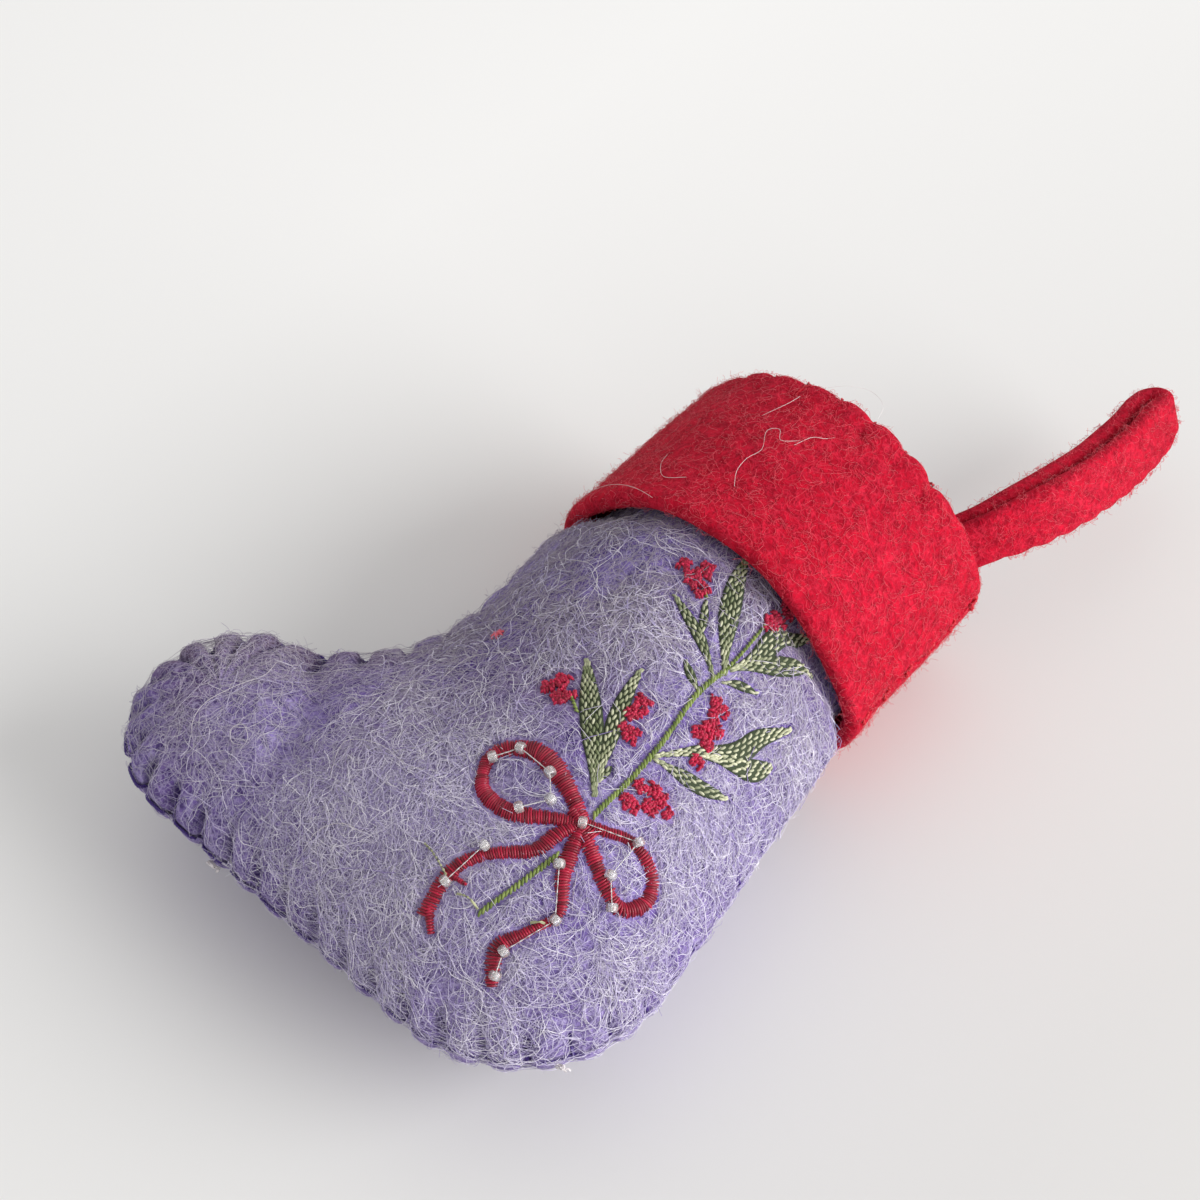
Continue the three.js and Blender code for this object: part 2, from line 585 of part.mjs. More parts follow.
function hangingLoop() {
  const middle = new THREE.CubicBezierCurve(
    vec2(0, 0),
    vec2(LOOP_BOW * 0.35, LOOP_LENGTH * 0.3),
    vec2(LOOP_BOW * 1.35, LOOP_LENGTH * 0.65),
    vec2(LOOP_TIP_SWING, LOOP_LENGTH - LOOP_FOLD_RADIUS),
  );
  const legSteps = 10;
  const foldSteps = 7;
  const leg = (sign) =>
    Array.from({ length: legSteps }, (_, i) => {
      const t = i / legSteps;
      const along = middle.getTangent(t);
      const side = vec2(along.y, -along.x).multiplyScalar(sign);
      const apart = mix((STRAP_FELT + STRAP_LAYER_GAP) / 2, LOOP_FOLD_RADIUS, ease(t, 0.1, 0.6));
      return { place: middle.getPoint(t).addScaledVector(side, apart), side };
    });
  const end = middle.getPoint(1);
  const heading = middle.getTangent(1).angle();
  const fold = Array.from({ length: foldSteps + 1 }, (_, i) => {
    const angle = heading - Math.PI / 2 + (Math.PI * i) / foldSteps;
    const side = vec2(Math.cos(angle), Math.sin(angle));
    return { place: end.clone().addScaledVector(side, LOOP_FOLD_RADIUS), side };
  });
  return strapSolid([...leg(1), ...fold, ...leg(-1).reverse()]);
}

// The rounded bend that the two layers share at the root of the loop.
function bentStrap() {
  const bend = new THREE.CylinderGeometry(strapStack / 2, strapStack / 2, STRAP_WIDTH, 14);
  bend.applyQuaternion(new THREE.Quaternion().setFromUnitVectors(vec3(0, 1, 0), loopWide));
  bend.translate(...loopBend.toArray());
  return join([hangingLoop(), solidOf(bend)]);
}

// The strap's two ends, sewn flat between the leg and the cuff.
function loopTails() {
  const top = STOCKING_HEIGHT + LOOP_BEND_HEIGHT - strapStack / 2 - CLEARANCE;
  const bottom = STOCKING_HEIGHT - TAIL_LENGTH;
  const tails = part("loop_tails", new THREE.BoxGeometry(strapStack, top - bottom, STRAP_WIDTH), red, 0.95);
  tails.position.set(LOOP_ROOT_X, (top + bottom) / 2, LOOP_ROOT_Z);
  tails.rotation.y = -LOOP_LEAN;
  return tails;
}

// Long stitch along the rim that catches the loop's tails.
function loopTack() {
  const off = CLEARANCE + TACK_RADIUS;
  const angles = turns(TACK_TURN, 5);
  const outside = CUFF_FELT + off;
  const end = (angle) => [
    cuffPoint(STOCKING_HEIGHT - TACK_BITE, outside, angle),
    cuffPoint(STOCKING_HEIGHT, outside, angle),
  ];
  const top = angles.map((angle) => cuffPoint(STOCKING_HEIGHT + off, CUFF_FELT * 0.9, angle));
  const line = [...end(angles[0]), ...top, ...end(angles[angles.length - 1]).reverse()];
  return thread(line, TACK_RADIUS);
}

// Embroidered band that follows the felt: points along its middle, and its width along it.
const BAND_SECTION = [[-1, 0], [-0.7, 0.8], [0, 1], [0.7, 0.8], [1, 0]];
function band(points, widthAt, height) {
  const line = new THREE.SplineCurve(points.map(([x, y]) => vec2(x, y)));
  const steps = Math.ceil(line.getLength() / BAND_STEP);
  const loops = Array.from({ length: steps + 1 }, (_, i) => {
    const t = i / steps;
    const middle = line.getPointAt(t);
    const along = line.getTangentAt(t);
    const side = vec2(-along.y, along.x).multiplyScalar(widthAt(t) / 2);
    return BAND_SECTION.map(([across, up]) => {
      const place = middle.clone().addScaledVector(side, across);
      return onFront([frontPanel], place, STITCH_LIFT + up * height);
    });
  });
  return skin(loops);
}

// Point above the front. The lift is measured square to the surface.
function onFront(meshes, place, lift) {
  const hit = look(meshes, place.x, place.y);
  return vec3(place.x, place.y, hit.point.z + lift / Math.max(hit.face.normal.z, 0.4));
}

// Closed solid from one of the library's geometries.
function solidOf(geometry) {
  return solidFromTriangles(geometry.toNonIndexed().getAttribute("position").array);
}

function flatBall([x, y], radius, flatness) {
  const ball = new THREE.SphereGeometry(radius, 7, 4);
  ball.rotateX(Math.PI / 2);
  ball.scale(1, 1, flatness);
  const centre = onFront([frontPanel], vec2(x, y), STITCH_LIFT + radius * flatness);
  ball.translate(...centre.toArray());
  return solidOf(ball);
}

function leaf({ width, line }) {
  const root = 0.5;
  const widthAt = (t) => root + (width - root) * Math.sin(Math.PI * t ** 0.8) ** 0.8;
  return band(line, widthAt, LEAF_HEIGHT);
}

// Glass beads on a clear thread. A bead sits on what lies under it, with its bore along the thread.
function beadString(places, under, stringNumber) {
  const points = places.map(([x, y]) => vec2(x, y));
  const footprint = [[0, 0], [1, 0], [-1, 0], [0, 1], [0, -1]];
  const centres = points.map((point) => {
    const tops = footprint.map(([dx, dy]) =>
      surfaceHeight(under, point.x + dx * BEAD_RADIUS, point.y + dy * BEAD_RADIUS),
    );
    return vec3(point.x, point.y, Math.max(...tops) + CLEARANCE + BEAD_RADIUS);
  });
  const axes = centres.map((centre, i) => {
    const before = centres[Math.max(i - 1, 0)];
    const after = centres[Math.min(i + 1, centres.length - 1)];
    return after.clone().sub(before).setZ(0).normalize();
  });
  const half = BEAD_LENGTH / 2;
  const rim = BEAD_RADIUS * 0.8;
  const profile = [
    [BEAD_BORE, -half], [rim, -half], [BEAD_RADIUS, 0], [rim, half], [BEAD_BORE, half], [BEAD_BORE, -half],
  ].map(([r, y]) => vec2(r, y));
  const beads = centres.map((centre, i) => {
    const name = `bead_${stringNumber}_${i + 1}`;
    const bead = part(name, solidOf(new THREE.LatheGeometry(profile, 7)), "#eef2f4", 0.1);
    bead.position.copy(centre);
    bead.quaternion.setFromUnitVectors(vec3(0, 1, 0), axes[i]);
    return bead;
  });
  const past = half + 0.35;
  const line = centres.flatMap((centre, i) => [
    centre.clone().addScaledVector(axes[i], -past),
    centre.clone(),
    centre.clone().addScaledVector(axes[i], past),
  ]);
  const touchDown = (from, axis) => {
    const place = from.clone().addScaledVector(axis, 1.4);
    return onFront(under, place, CLEARANCE + BEAD_THREAD_RADIUS);
  };
  const start = touchDown(line[0], axes[0].clone().negate());
  const end = touchDown(line[line.length - 1], axes[axes.length - 1]);
  const clear = thread([start, ...line, end], BEAD_THREAD_RADIUS);
  return [...beads, part(`bead_thread_${stringNumber}`, clear, "#dfe6ea", 0.2)];
}

const satin = "#b01a34";
const leafGreen = "#7f9557";
const bow = Object.entries(BOW_BANDS).map(([name, line]) =>
  part(name, band(line, () => SATIN_WIDTH, SATIN_HEIGHT), satin, 0.5),
);
bow.push(part("bow_knot", flatBall(KNOT, KNOT_RADIUS, KNOT_FLATNESS), satin, 0.5));
const stems = Object.entries(STEMS).map(([name, line]) =>
  part(name, band(line, () => STEM_WIDTH, SATIN_HEIGHT), "#86a04a", 0.6),
);
const leaves = LEAVES.map((shape, i) => part(`leaf_${i + 1}`, leaf(shape), leafGreen, 0.6));
const berries = Object.entries(BERRIES).map(([name, places]) =>
  part(name, join(places.map((place) => flatBall(place, BERRY_RADIUS, BERRY_FLATNESS))), "#c81a3c", 0.6),
);
const beads = BEAD_STRINGS.flatMap((places, i) => beadString(places, [frontPanel, ...bow], i + 1));

const stocking = new THREE.Group();
stocking.add(frontPanel, backPanel);
stocking.add(part("stuffing", stuffing(), "#f2f0ea", 1));
stocking.add(part("edge_stitching", edgeStitching(), "#5a3f8f", 0.7));
stocking.add(part("cuff", cuff(), red, 0.95));
stocking.add(part("rim_stitching", rimStitching(), "#9c1022", 0.7));
stocking.add(part("cuff_seam_stitching", cuffSeamStitching(), "#9c1022", 0.7));
stocking.add(part("hanging_loop", bentStrap(), red, 0.95));
stocking.add(loopTails());
stocking.add(part("loop_tack_stitch", loopTack(), "#e59aa6", 0.7));
stocking.add(...bow, ...stems, ...leaves, ...berries, ...beads);

// The ornament lies on the plane z = 0 with its origin under the middle of its box.
const box = new THREE.Box3().setFromObject(stocking);
const middle = box.getCenter(vec3(0, 0, 0));
stocking.position.set(-middle.x, -middle.y, -box.min.z);

export default stocking;
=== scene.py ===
# %% [markdown]
# # A stuffed felt stocking ornament
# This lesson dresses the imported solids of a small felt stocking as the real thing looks: two thick
# wool panels sewn together round the edge, a red cuff with a doubled hanging strap, and a sprig with
# a bow, stitched in thread and glass beads. Every cell makes one piece or one finish.

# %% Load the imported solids
import json
import math
import random

import bmesh
import bpy
import numpy as np
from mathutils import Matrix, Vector, noise
from mathutils.bvhtree import BVHTree

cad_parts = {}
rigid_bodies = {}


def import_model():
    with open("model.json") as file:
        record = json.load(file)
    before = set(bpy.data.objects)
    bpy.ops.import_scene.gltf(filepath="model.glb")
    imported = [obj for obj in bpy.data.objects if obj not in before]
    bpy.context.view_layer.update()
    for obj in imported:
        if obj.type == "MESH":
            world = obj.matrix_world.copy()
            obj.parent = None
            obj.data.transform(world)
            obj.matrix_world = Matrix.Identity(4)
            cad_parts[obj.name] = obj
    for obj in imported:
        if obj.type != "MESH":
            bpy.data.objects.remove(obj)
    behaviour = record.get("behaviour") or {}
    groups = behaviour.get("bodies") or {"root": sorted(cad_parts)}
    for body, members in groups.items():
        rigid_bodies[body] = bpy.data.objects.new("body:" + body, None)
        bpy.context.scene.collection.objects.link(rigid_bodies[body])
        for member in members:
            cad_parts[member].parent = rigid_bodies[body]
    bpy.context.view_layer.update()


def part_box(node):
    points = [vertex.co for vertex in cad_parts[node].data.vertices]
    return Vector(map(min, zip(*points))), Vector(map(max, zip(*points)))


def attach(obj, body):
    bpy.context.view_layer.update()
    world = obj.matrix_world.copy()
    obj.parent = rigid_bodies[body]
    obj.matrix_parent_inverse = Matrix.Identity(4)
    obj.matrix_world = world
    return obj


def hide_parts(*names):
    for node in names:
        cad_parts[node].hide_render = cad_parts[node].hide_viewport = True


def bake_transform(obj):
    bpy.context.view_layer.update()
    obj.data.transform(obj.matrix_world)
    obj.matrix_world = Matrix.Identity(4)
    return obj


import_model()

# %% [markdown]
# ## The pattern
# A felt maker starts from a paper pattern, so the sizes come first, in millimetres. x runs across the
# leg, y up from the sole and z out of the front, from the plane of the seam. One shift, read off the
# packed front panel, takes the pattern to the shared frame in metres.

# %% Sizes of the pattern
MM = 0.001
UP = np.array([0, 0, 1.0])
STOCKING_HEIGHT = 113.0
LEG_WIDTH = 57.0
SEAT_WIDTH = 49.0
SHOULDER_HEIGHT = 5.0
FOOT_LENGTH = 94.0
HEEL_RADIUS = 23.5
HEEL_SWELL = 7.0
TOE_RADIUS = 17.0
TOE_SPRING = 3.5
TOE_TRIM = 1.2
INSTEP_RADIUS = 24.0
STRAP_ROOM = 7.6
STRAP_ROOM_HEIGHT = 12.0
RIM_SINK = 2.0
RISES = np.array([23.0, 23.0, 20.0, 15.2, 9.6])
DEPTHS = np.array([16.6, 16.6, 21.5, 17.0, 11.0])
REST_DEPTH = 20.0
POCKET_DEPTH = 27.0
FELT = 2.8
EDGE_FELT = 1.7
SEAM_WIDTH = 2.5
SEAM_GAP = 0.3
STITCH_PITCH = 6.2
CUFF_HEIGHT = 36.5
CUFF_FELT = 3.0
CUFF_GAP = 0.9
HEM_HEIGHT = STOCKING_HEIGHT - CUFF_HEIGHT
SEAT_HEIGHT = HEM_HEIGHT + 2.6
TOE_SPAN = len(RISES) - 1

panel_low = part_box("front_panel")[0]
toe_tip = LEG_WIDTH / 2 + HEEL_SWELL - FOOT_LENGTH
pattern_shift = np.array([panel_low[0] / MM - toe_tip, panel_low[1] / MM, panel_low[2] / MM - SEAM_GAP / 2])


def to_frame(points):
    """Millimetres of the pattern to metres of the shared frame."""
    return (np.asarray(points, float) + pattern_shift) * MM


def ease(x, low, high):
    """Smooth step from 0 at low to 1 at high."""
    t = np.clip((np.asarray(x, float) - low) / (high - low), 0, 1)
    return t * t * (3 - 2 * t)


def run_along(points):
    """Distance from the first point of a line to each of its points."""
    return np.concatenate([[0], np.cumsum(np.linalg.norm(np.diff(points, axis=0), axis=1))])


def rim_sink(y):
    return RIM_SINK * ease(y, SEAT_HEIGHT + STRAP_ROOM_HEIGHT, STOCKING_HEIGHT)


print("pattern shift in mm:", pattern_shift.round(2))

# %% [markdown]
# ## The outline
# The pattern is a handful of straight lines and arcs: leg, hollow instep, round toe, sole, round heel.
# Each is a small function of a share from 0 to 1, so the outline can be sampled as finely as a stitch
# needs. Rungs then run across the stocking like the rungs of a bent ladder, from the leg to the toe.

# %% Outline and rungs
def straight(start, end):
    start, end = np.array(start), np.array(end)
    return lambda t: start + (end - start) * np.asarray(t)[..., None]


def arc(centre, radius, start, end):
    def curve(t):
        angle = start + (end - start) * np.asarray(t)
        return np.stack([centre[0] + radius * np.cos(angle), centre[1] + radius * np.sin(angle)], axis=-1)
    return curve


def bezier(handles, t):
    """Cubic curve from its first handle to its last."""
    t = np.asarray(t)[..., None]
    s = 1 - t
    weights = (s**3, 3 * s * s * t, 3 * s * t * t, t**3)
    return sum(w * np.array(h) for w, h in zip(weights, handles))


def shoulder(start, end):
    """Soft step from one width of the leg to another."""
    middle = (start[1] + end[1]) / 2
    return lambda t: bezier([start, (start[0], middle), (end[0], middle), end], t)


heel_back = LEG_WIDTH / 2 + HEEL_SWELL
heel_centre = np.array([heel_back - HEEL_RADIUS, HEEL_RADIUS])
toe_centre = np.array([heel_back - FOOT_LENGTH + TOE_TRIM + TOE_RADIUS, TOE_RADIUS + TOE_SPRING])
instep_x = -LEG_WIDTH / 2 - INSTEP_RADIUS
instep_rise = math.sqrt((INSTEP_RADIUS + TOE_RADIUS) ** 2 - (instep_x - toe_centre[0]) ** 2)
instep_centre = np.array([instep_x, toe_centre[1] + instep_rise])
shoulder_height = SEAT_HEIGHT - SHOULDER_HEIGHT
heel_start = np.array([LEG_WIDTH / 2, shoulder_height])
sole_run = toe_centre - heel_centre
sole_length = np.linalg.norm(sole_run)
sole_angle = math.atan2(*sole_run[::-1]) % math.tau + math.acos((HEEL_RADIUS - TOE_RADIUS) / sole_length)
heel_view = heel_start - heel_centre
heel_angle = math.atan2(*heel_view[::-1]) - math.acos(HEEL_RADIUS / np.linalg.norm(heel_view))
toe_angle = math.atan2(*(instep_centre - toe_centre)[::-1])
toe_top = arc(toe_centre, TOE_RADIUS, toe_angle, math.pi)
toe_under = arc(toe_centre, TOE_RADIUS, math.pi, sole_angle)
heel_arc = arc(heel_centre, HEEL_RADIUS, sole_angle, heel_angle + math.tau)
sole_line = straight(toe_under(1.0), heel_arc(0.0))
instep_arc = arc(instep_centre, INSTEP_RADIUS, 0, toe_angle + math.pi - math.tau)
leg_front = straight((-LEG_WIDTH / 2, shoulder_height), (-LEG_WIDTH / 2, instep_centre[1]))
leg_back = straight(heel_arc(1.0), heel_start)
front_shoulder = shoulder((-SEAT_WIDTH / 2, SEAT_HEIGHT), (-LEG_WIDTH / 2, shoulder_height))
back_shoulder = shoulder(tuple(heel_start), (SEAT_WIDTH / 2, SEAT_HEIGHT))
EDGES = [
    front_shoulder, leg_front, instep_arc, toe_top, toe_under, sole_line, heel_arc, leg_back, back_shoulder]

SAMPLES_PER_EDGE = 500
outline = np.vstack([edge(np.linspace(0, 1, SAMPLES_PER_EDGE, endpoint=False)) for edge in EDGES])
outline_run = run_along(outline)
stitch_count = round(outline_run[-1] / STITCH_PITCH)
stitch_runs = (np.arange(stitch_count) + 0.5) / stitch_count * outline_run[-1]

INSTEP_SPLIT = 0.45
SPANS = [
    (front_shoulder, (0, 1), back_shoulder),
    (leg_front, (0, 1), leg_back),
    (instep_arc, (0, INSTEP_SPLIT), heel_arc),
    (instep_arc, (INSTEP_SPLIT, 1), sole_line),
    (toe_top, (0, 1), toe_under),
]


def through(values, t):
    """Smooth curve through evenly spaced values."""
    ends = np.concatenate([values[:1], values, values[-1:]])
    i = np.clip(np.floor(t).astype(int), 0, len(values) - 2)
    f = t - i
    a, b, c, d = ends[i], ends[i + 1], ends[i + 2], ends[i + 3]
    return 0.5 * (2 * b + (c - a) * f + (2 * a - 5 * b + 4 * c - d) * f**2 + (3 * b - a - 3 * c + d) * f**3)


def make_rungs(top, top_steps, span_steps):
    """Rungs from the height top down the leg and out to the toe, as arrays with one row a rung."""
    y = np.linspace(top, SEAT_HEIGHT, top_steps, endpoint=False)
    drawn_in = STRAP_ROOM * ease(y, SEAT_HEIGHT + STRAP_ROOM_HEIGHT, STOCKING_HEIGHT - STRAP_ROOM_HEIGHT)
    seat = np.full_like(y, SEAT_WIDTH / 2)
    rows = [(
        np.stack([-seat, y], axis=1), np.stack([seat - drawn_in, y], axis=1), np.stack([0 * y, y], axis=1),
        RISES[0] - rim_sink(y), DEPTHS[0] - rim_sink(y),
    )]
    for index, ((front_edge, (first, last), back_edge), steps) in enumerate(zip(SPANS, span_steps)):
        t = np.linspace(0, 1, steps + 1)[min(index, 1):]
        front = front_edge(first + (last - first) * t)
        back = back_edge(1 - t)
        ridge = (front + back) / 2
        if index == TOE_SPAN:
            ridge[:] = rows[-1][2][-1]
        along = np.minimum(index + t, TOE_SPAN)
        rows.append((front, back, ridge, through(RISES, along), through(DEPTHS, along)))
    names = ("front", "back", "ridge", "rise", "depth")
    return {name: np.concatenate(part) for name, part in zip(names, zip(*rows))}


def run_of(points):
    """How far along the outline each edge point lies. Edges above the seat carry no edge stitches."""
    nearest = np.array([np.argmin(((outline - p) ** 2).sum(1)) for p in points])
    return np.where(points[:, 1] > SEAT_HEIGHT + 0.01, -10 * STITCH_PITCH, outline_run[nearest])


print("outline", round(outline_run[-1], 1), "mm,", stitch_count, "edge stitches")

# %% [markdown]
# ## Making plain meshes
# Most pieces are grids of points: rows along a path, columns across it. These helpers turn such a grid
# into a closed mesh in the shared frame, merge the points that fall together at a pole, and turn the
# faces outwards.

# %% Mesh helpers
def grid_faces(rows, columns, ring_rows=False, ring_columns=False):
    """Quads of a grid whose points are numbered row by row."""
    near = np.arange(rows if ring_rows else rows - 1)[:, None]
    left = np.arange(columns if ring_columns else columns - 1)[None, :]
    far, right = (near + 1) % rows, (left + 1) % columns
    quads = [near * columns + left, near * columns + right, far * columns + right, far * columns + left]
    return np.stack(np.broadcast_arrays(*quads), axis=-1).reshape(-1, 4)


def linked(name, data):
    """Object at the origin, put in the scene."""
    piece = bpy.data.objects.new(name, data)
    bpy.context.scene.collection.objects.link(piece)
    return piece


def point_outwards(mesh, merge=False):
    """Turns a mesh's faces outwards, and before that merges points that fall together if asked to."""
    work = bmesh.new()
    work.from_mesh(mesh)
    if merge:
        bmesh.ops.remove_doubles(work, verts=work.verts, dist=1e-6)
        bmesh.ops.dissolve_degenerate(work, edges=work.edges, dist=1e-7)
    bmesh.ops.recalc_face_normals(work, faces=work.faces)
    work.to_mesh(mesh)
    work.free()


def template(name, points, faces):
    """Object outside the scene that a tree copies."""
    mesh = bpy.data.meshes.new(name)
    mesh.from_pydata(points.reshape(-1, 3).tolist(), [], faces)
    point_outwards(mesh)
    return bpy.data.objects.new(name, mesh)


def plain_mesh(name, points, faces, material, **attributes):
    """Object at the origin with points given in pattern millimetres, and values kept at its points."""
    mesh = bpy.data.meshes.new(name)
    mesh.from_pydata(to_frame(points).tolist(), [], [tuple(map(int, f)) for f in faces])
    for label, values in attributes.items():
        mesh.attributes.new(label, "FLOAT", "POINT").data.foreach_set("value", np.asarray(values, np.float32))
    point_outwards(mesh, merge=True)
    mesh.shade_smooth()
    mesh.materials.append(material)
    return linked(name, mesh)


def grid_normals(points, up):
    """Unit normals of a grid of points, turned so that most of them point along up."""
    normal = np.cross(np.gradient(points, axis=1), np.gradient(points, axis=0))
    size = np.linalg.norm(normal, axis=-1, keepdims=True)
    normal = np.where(size > 1e-9, normal / np.maximum(size, 1e-9), 0)
    if (normal @ up).sum() < 0:
        normal = -normal
    return np.where(size > 1e-9, normal, up)


def lumps(points, size, seed):
    """Soft random swelling from -1 to 1 with bumps of about the given size in millimetres."""
    flat = np.asarray(points, float).reshape(-1, 3) / size + seed * 17.3
    values = [noise.noise(Vector(p)) for p in flat]
    return np.array(values).reshape(np.shape(points)[:-1])


# %% [markdown]
# ## Building node trees
# Shaders and geometry trees are both lists of nodes with sockets. One small helper adds a node, sets
# its plain values and links the sockets it is given, so that each finish below reads like a recipe.

# %% Node helper
class Recipe:
    """Adds nodes to a tree. Inputs are named or numbered, and a socket among them is linked."""

    def __init__(self, tree):
        self.tree = tree

    def add(self, kind, inputs=None, **settings):
        node = self.tree.nodes.new(kind)
        for key, value in settings.items():
            setattr(node, key, value)
        for key, value in (inputs or {}).items():
            if isinstance(value, bpy.types.NodeSocket):
                self.tree.links.new(value, node.inputs[key])
            else:
                node.inputs[key].default_value = value
        return node

    def math(self, operation, first, second=0.0):
        return self.add("ShaderNodeMath", {0: first, 1: second}, operation=operation).outputs[0]

    def remap(self, value, low, high, to_low=0.0, to_high=1.0):
        inputs = {"Value": value, "From Min": low, "From Max": high, "To Min": to_low, "To Max": to_high}
        return self.add("ShaderNodeMapRange", inputs).outputs["Result"]

    def mix(self, share, first, second):
        return self.add("ShaderNodeMix", {0: share, 6: first, 7: second}, data_type="RGBA").outputs[2]

    def noise(self, place, scale, detail=2.0, roughness=0.5, distortion=0.0):
        inputs = {"Vector": place, "Scale": scale, "Detail": detail, "Roughness": roughness,
                  "Distortion": distortion}
        return self.add("ShaderNodeTexNoise", inputs).outputs["Fac"]


def srgb(red, green, blue):
    """A colour read off a screen, 0 to 255, as the linear colour that shaders use."""
    def linear(value):
        value /= 255
        return value / 12.92 if value <= 0.04045 else ((value + 0.055) / 1.055) ** 2.4
    return (linear(red), linear(green), linear(blue), 1.0)


def new_material(name):
    material = bpy.data.materials.new(name)
    material.use_nodes = True
    material.node_tree.nodes.clear()
    recipe = Recipe(material.node_tree)
    shader = recipe.add("ShaderNodeBsdfPrincipled")
    output = recipe.add("ShaderNodeOutputMaterial")
    material.node_tree.links.new(shader.outputs[0], output.inputs["Surface"])
    return material, recipe, shader


# %% [markdown]
# ## Felt
# Wool felt is a mat of curly fibres. Close up it shows blotches where the dyed wool lies thicker, a web
# of paler curls, and dark pinholes between them. The line where a smooth noise passes through its
# middle value wanders like a curl of wool, so a few such lines at several scales give the web, in
# colour and in height. A little sheen stands for the light that the loose fibre ends catch. Toward the
# toe and the instep the felt is greyer: partly worn wool, partly painted shade on the side away from
# the window. The middle of the foot is paler: partly paler wool, partly painted light where the window
# falls. The felt in the stitch dimples is painted darker, as shade in the hollows.

# %% Felt finishes
# Side of the boot away from the window: the felt and its fibres are greyer there, partly worn wool and partly
# painted shade.
WORN_SHADED_SIDE = np.array([0.64, -0.77, 0.0])
WORN_SHADED_REACH = [float(to_frame(place) @ WORN_SHADED_SIDE) for place in ((-40.0, 36.0, 0.0), (-14.0, 18.0, 0.0))]
BLOTCH_SCALE = 70
PINHOLE_SCALE = 620
WORN_SCALE = 34
WEBS = ((260, 0.014, 0.1), (420, 0.02, 0.3), (640, 0.03, 0.7), (950, 0.045, 1.1))
FELT_BUMP = 0.22


def curls(recipe, place, scale, width, turn):
    """Thin wandering lines, 1 on the line and 0 beside it."""
    moved = recipe.add("ShaderNodeMapping", {"Vector": place, "Location": (turn, -turn, 2 * turn)})
    field = recipe.noise(moved.outputs[0], scale, 1.0, 0.4, 0.4)
    off = recipe.math("ABSOLUTE", recipe.math("SUBTRACT", field, 0.5))
    return recipe.remap(off, 0.0, width, 1.0, 0.0)


def wear_and_shade(recipe, place, least):
    """1 on the side of the boot where the wool is rubbed greyer, which is also the side away from the window
    and painted darker as shade, falling to the least value on the other side.
    """
    across = recipe.add("ShaderNodeVectorMath", {0: place, 1: WORN_SHADED_SIDE}, operation="DOT_PRODUCT")
    return recipe.remap(across.outputs["Value"], *WORN_SHADED_REACH, 1.0, least)


def felt_material(name, dark, base, light, blotch, worn_shade_tint, sheen):
    material, recipe, shader = new_material(name)
    place = recipe.add("ShaderNodeTexCoord").outputs["Object"]
    broad = recipe.remap(recipe.noise(place, BLOTCH_SCALE, 3.0, 0.6, 0.3), 0.36, 0.64)
    fine = recipe.remap(recipe.noise(place, PINHOLE_SCALE, 3.0, 0.65, 0.8), 0.35, 0.65)
    webs = [curls(recipe, place, *web) for web in WEBS]
    web = webs[0]
    for other in webs[1:]:
        web = recipe.math("MAXIMUM", web, other)
    # Greyer blotches, strongest toward the toe and instep: worn wool, and painted shade on the side away from
    # the window.
    worn_shaded = recipe.remap(recipe.noise(place, WORN_SCALE, 2.0, 0.5, 0.2), 0.4, 0.58, 0.0, 0.95)
    worn_shaded = recipe.math("MULTIPLY", worn_shaded, wear_and_shade(recipe, place, 0.25))
    # Paler patch mid-foot: partly paler wool, partly painted light.
    pale = recipe.add("ShaderNodeAttribute", attribute_name="pale").outputs["Fac"]
    colour = recipe.mix(worn_shaded, recipe.mix(broad, base, blotch), worn_shade_tint)
    colour = recipe.mix(recipe.math("MULTIPLY", pale, 0.8), colour, light)
    pinholes = recipe.remap(fine, 0.0, 1.0, 0.8, 0.0)
    pinholes = recipe.math("MULTIPLY", pinholes, recipe.remap(pale, 0.0, 1.0, 1.0, 0.5))
    colour = recipe.mix(pinholes, colour, dark)
    colour = recipe.mix(recipe.math("MULTIPLY", web, 0.45), colour, light)
    # Darker felt in the stitch dimples: painted shade in the hollows.
    pulled = recipe.add("ShaderNodeAttribute", attribute_name="pulled").outputs["Fac"]
    colour = recipe.mix(recipe.remap(pulled, 0.12, 0.7, 0.0, 0.95), colour, dark)
    recipe.tree.links.new(colour, shader.inputs["Base Color"])
    height = recipe.math("ADD", recipe.math("MULTIPLY", web, 0.6), fine)
    bump = recipe.add("ShaderNodeBump", {"Height": height, "Strength": 0.7, "Distance": FELT_BUMP * MM})
    recipe.tree.links.new(bump.outputs[0], shader.inputs["Normal"])
    shader.inputs["Roughness"].default_value = 0.95
    shader.inputs["Specular IOR Level"].default_value = 0.15
    shader.inputs["Sheen Weight"].default_value = sheen
    shader.inputs["Sheen Roughness"].default_value = 0.55
    shader.inputs["Sheen Tint"].default_value = light
    return material


lavender_felt = felt_material(
    "lavender_felt", srgb(50, 32, 92), srgb(122, 98, 174), srgb(208, 198, 234), srgb(170, 154, 216),
    srgb(110, 88, 102), 0.2)
red_felt = felt_material(
    "red_felt", srgb(126, 0, 24), srgb(192, 8, 40), srgb(220, 50, 76), srgb(206, 20, 52),
    srgb(184, 8, 40), 0.32)
batting = felt_material(
    "batting", srgb(190, 188, 182), srgb(232, 230, 226), srgb(250, 250, 248), srgb(240, 238, 234),
    srgb(228, 226, 222), 0.3)

# %% [markdown]
# ## The two felt panels
# The boot is two thick panels, stuffed so that each swells to a crown and sewn so tightly at the edge
# that every stitch pulls a dimple and the felt between puffs out. A remesh would lose those stitches,
# so the crown is drawn straight from the rungs and then shaped along its own normals: dimples at each
# stitch, puffs between, slow lumps of stuffing, and the crease behind the toe. The inside face is drawn
# too, because the open mouth shows it.

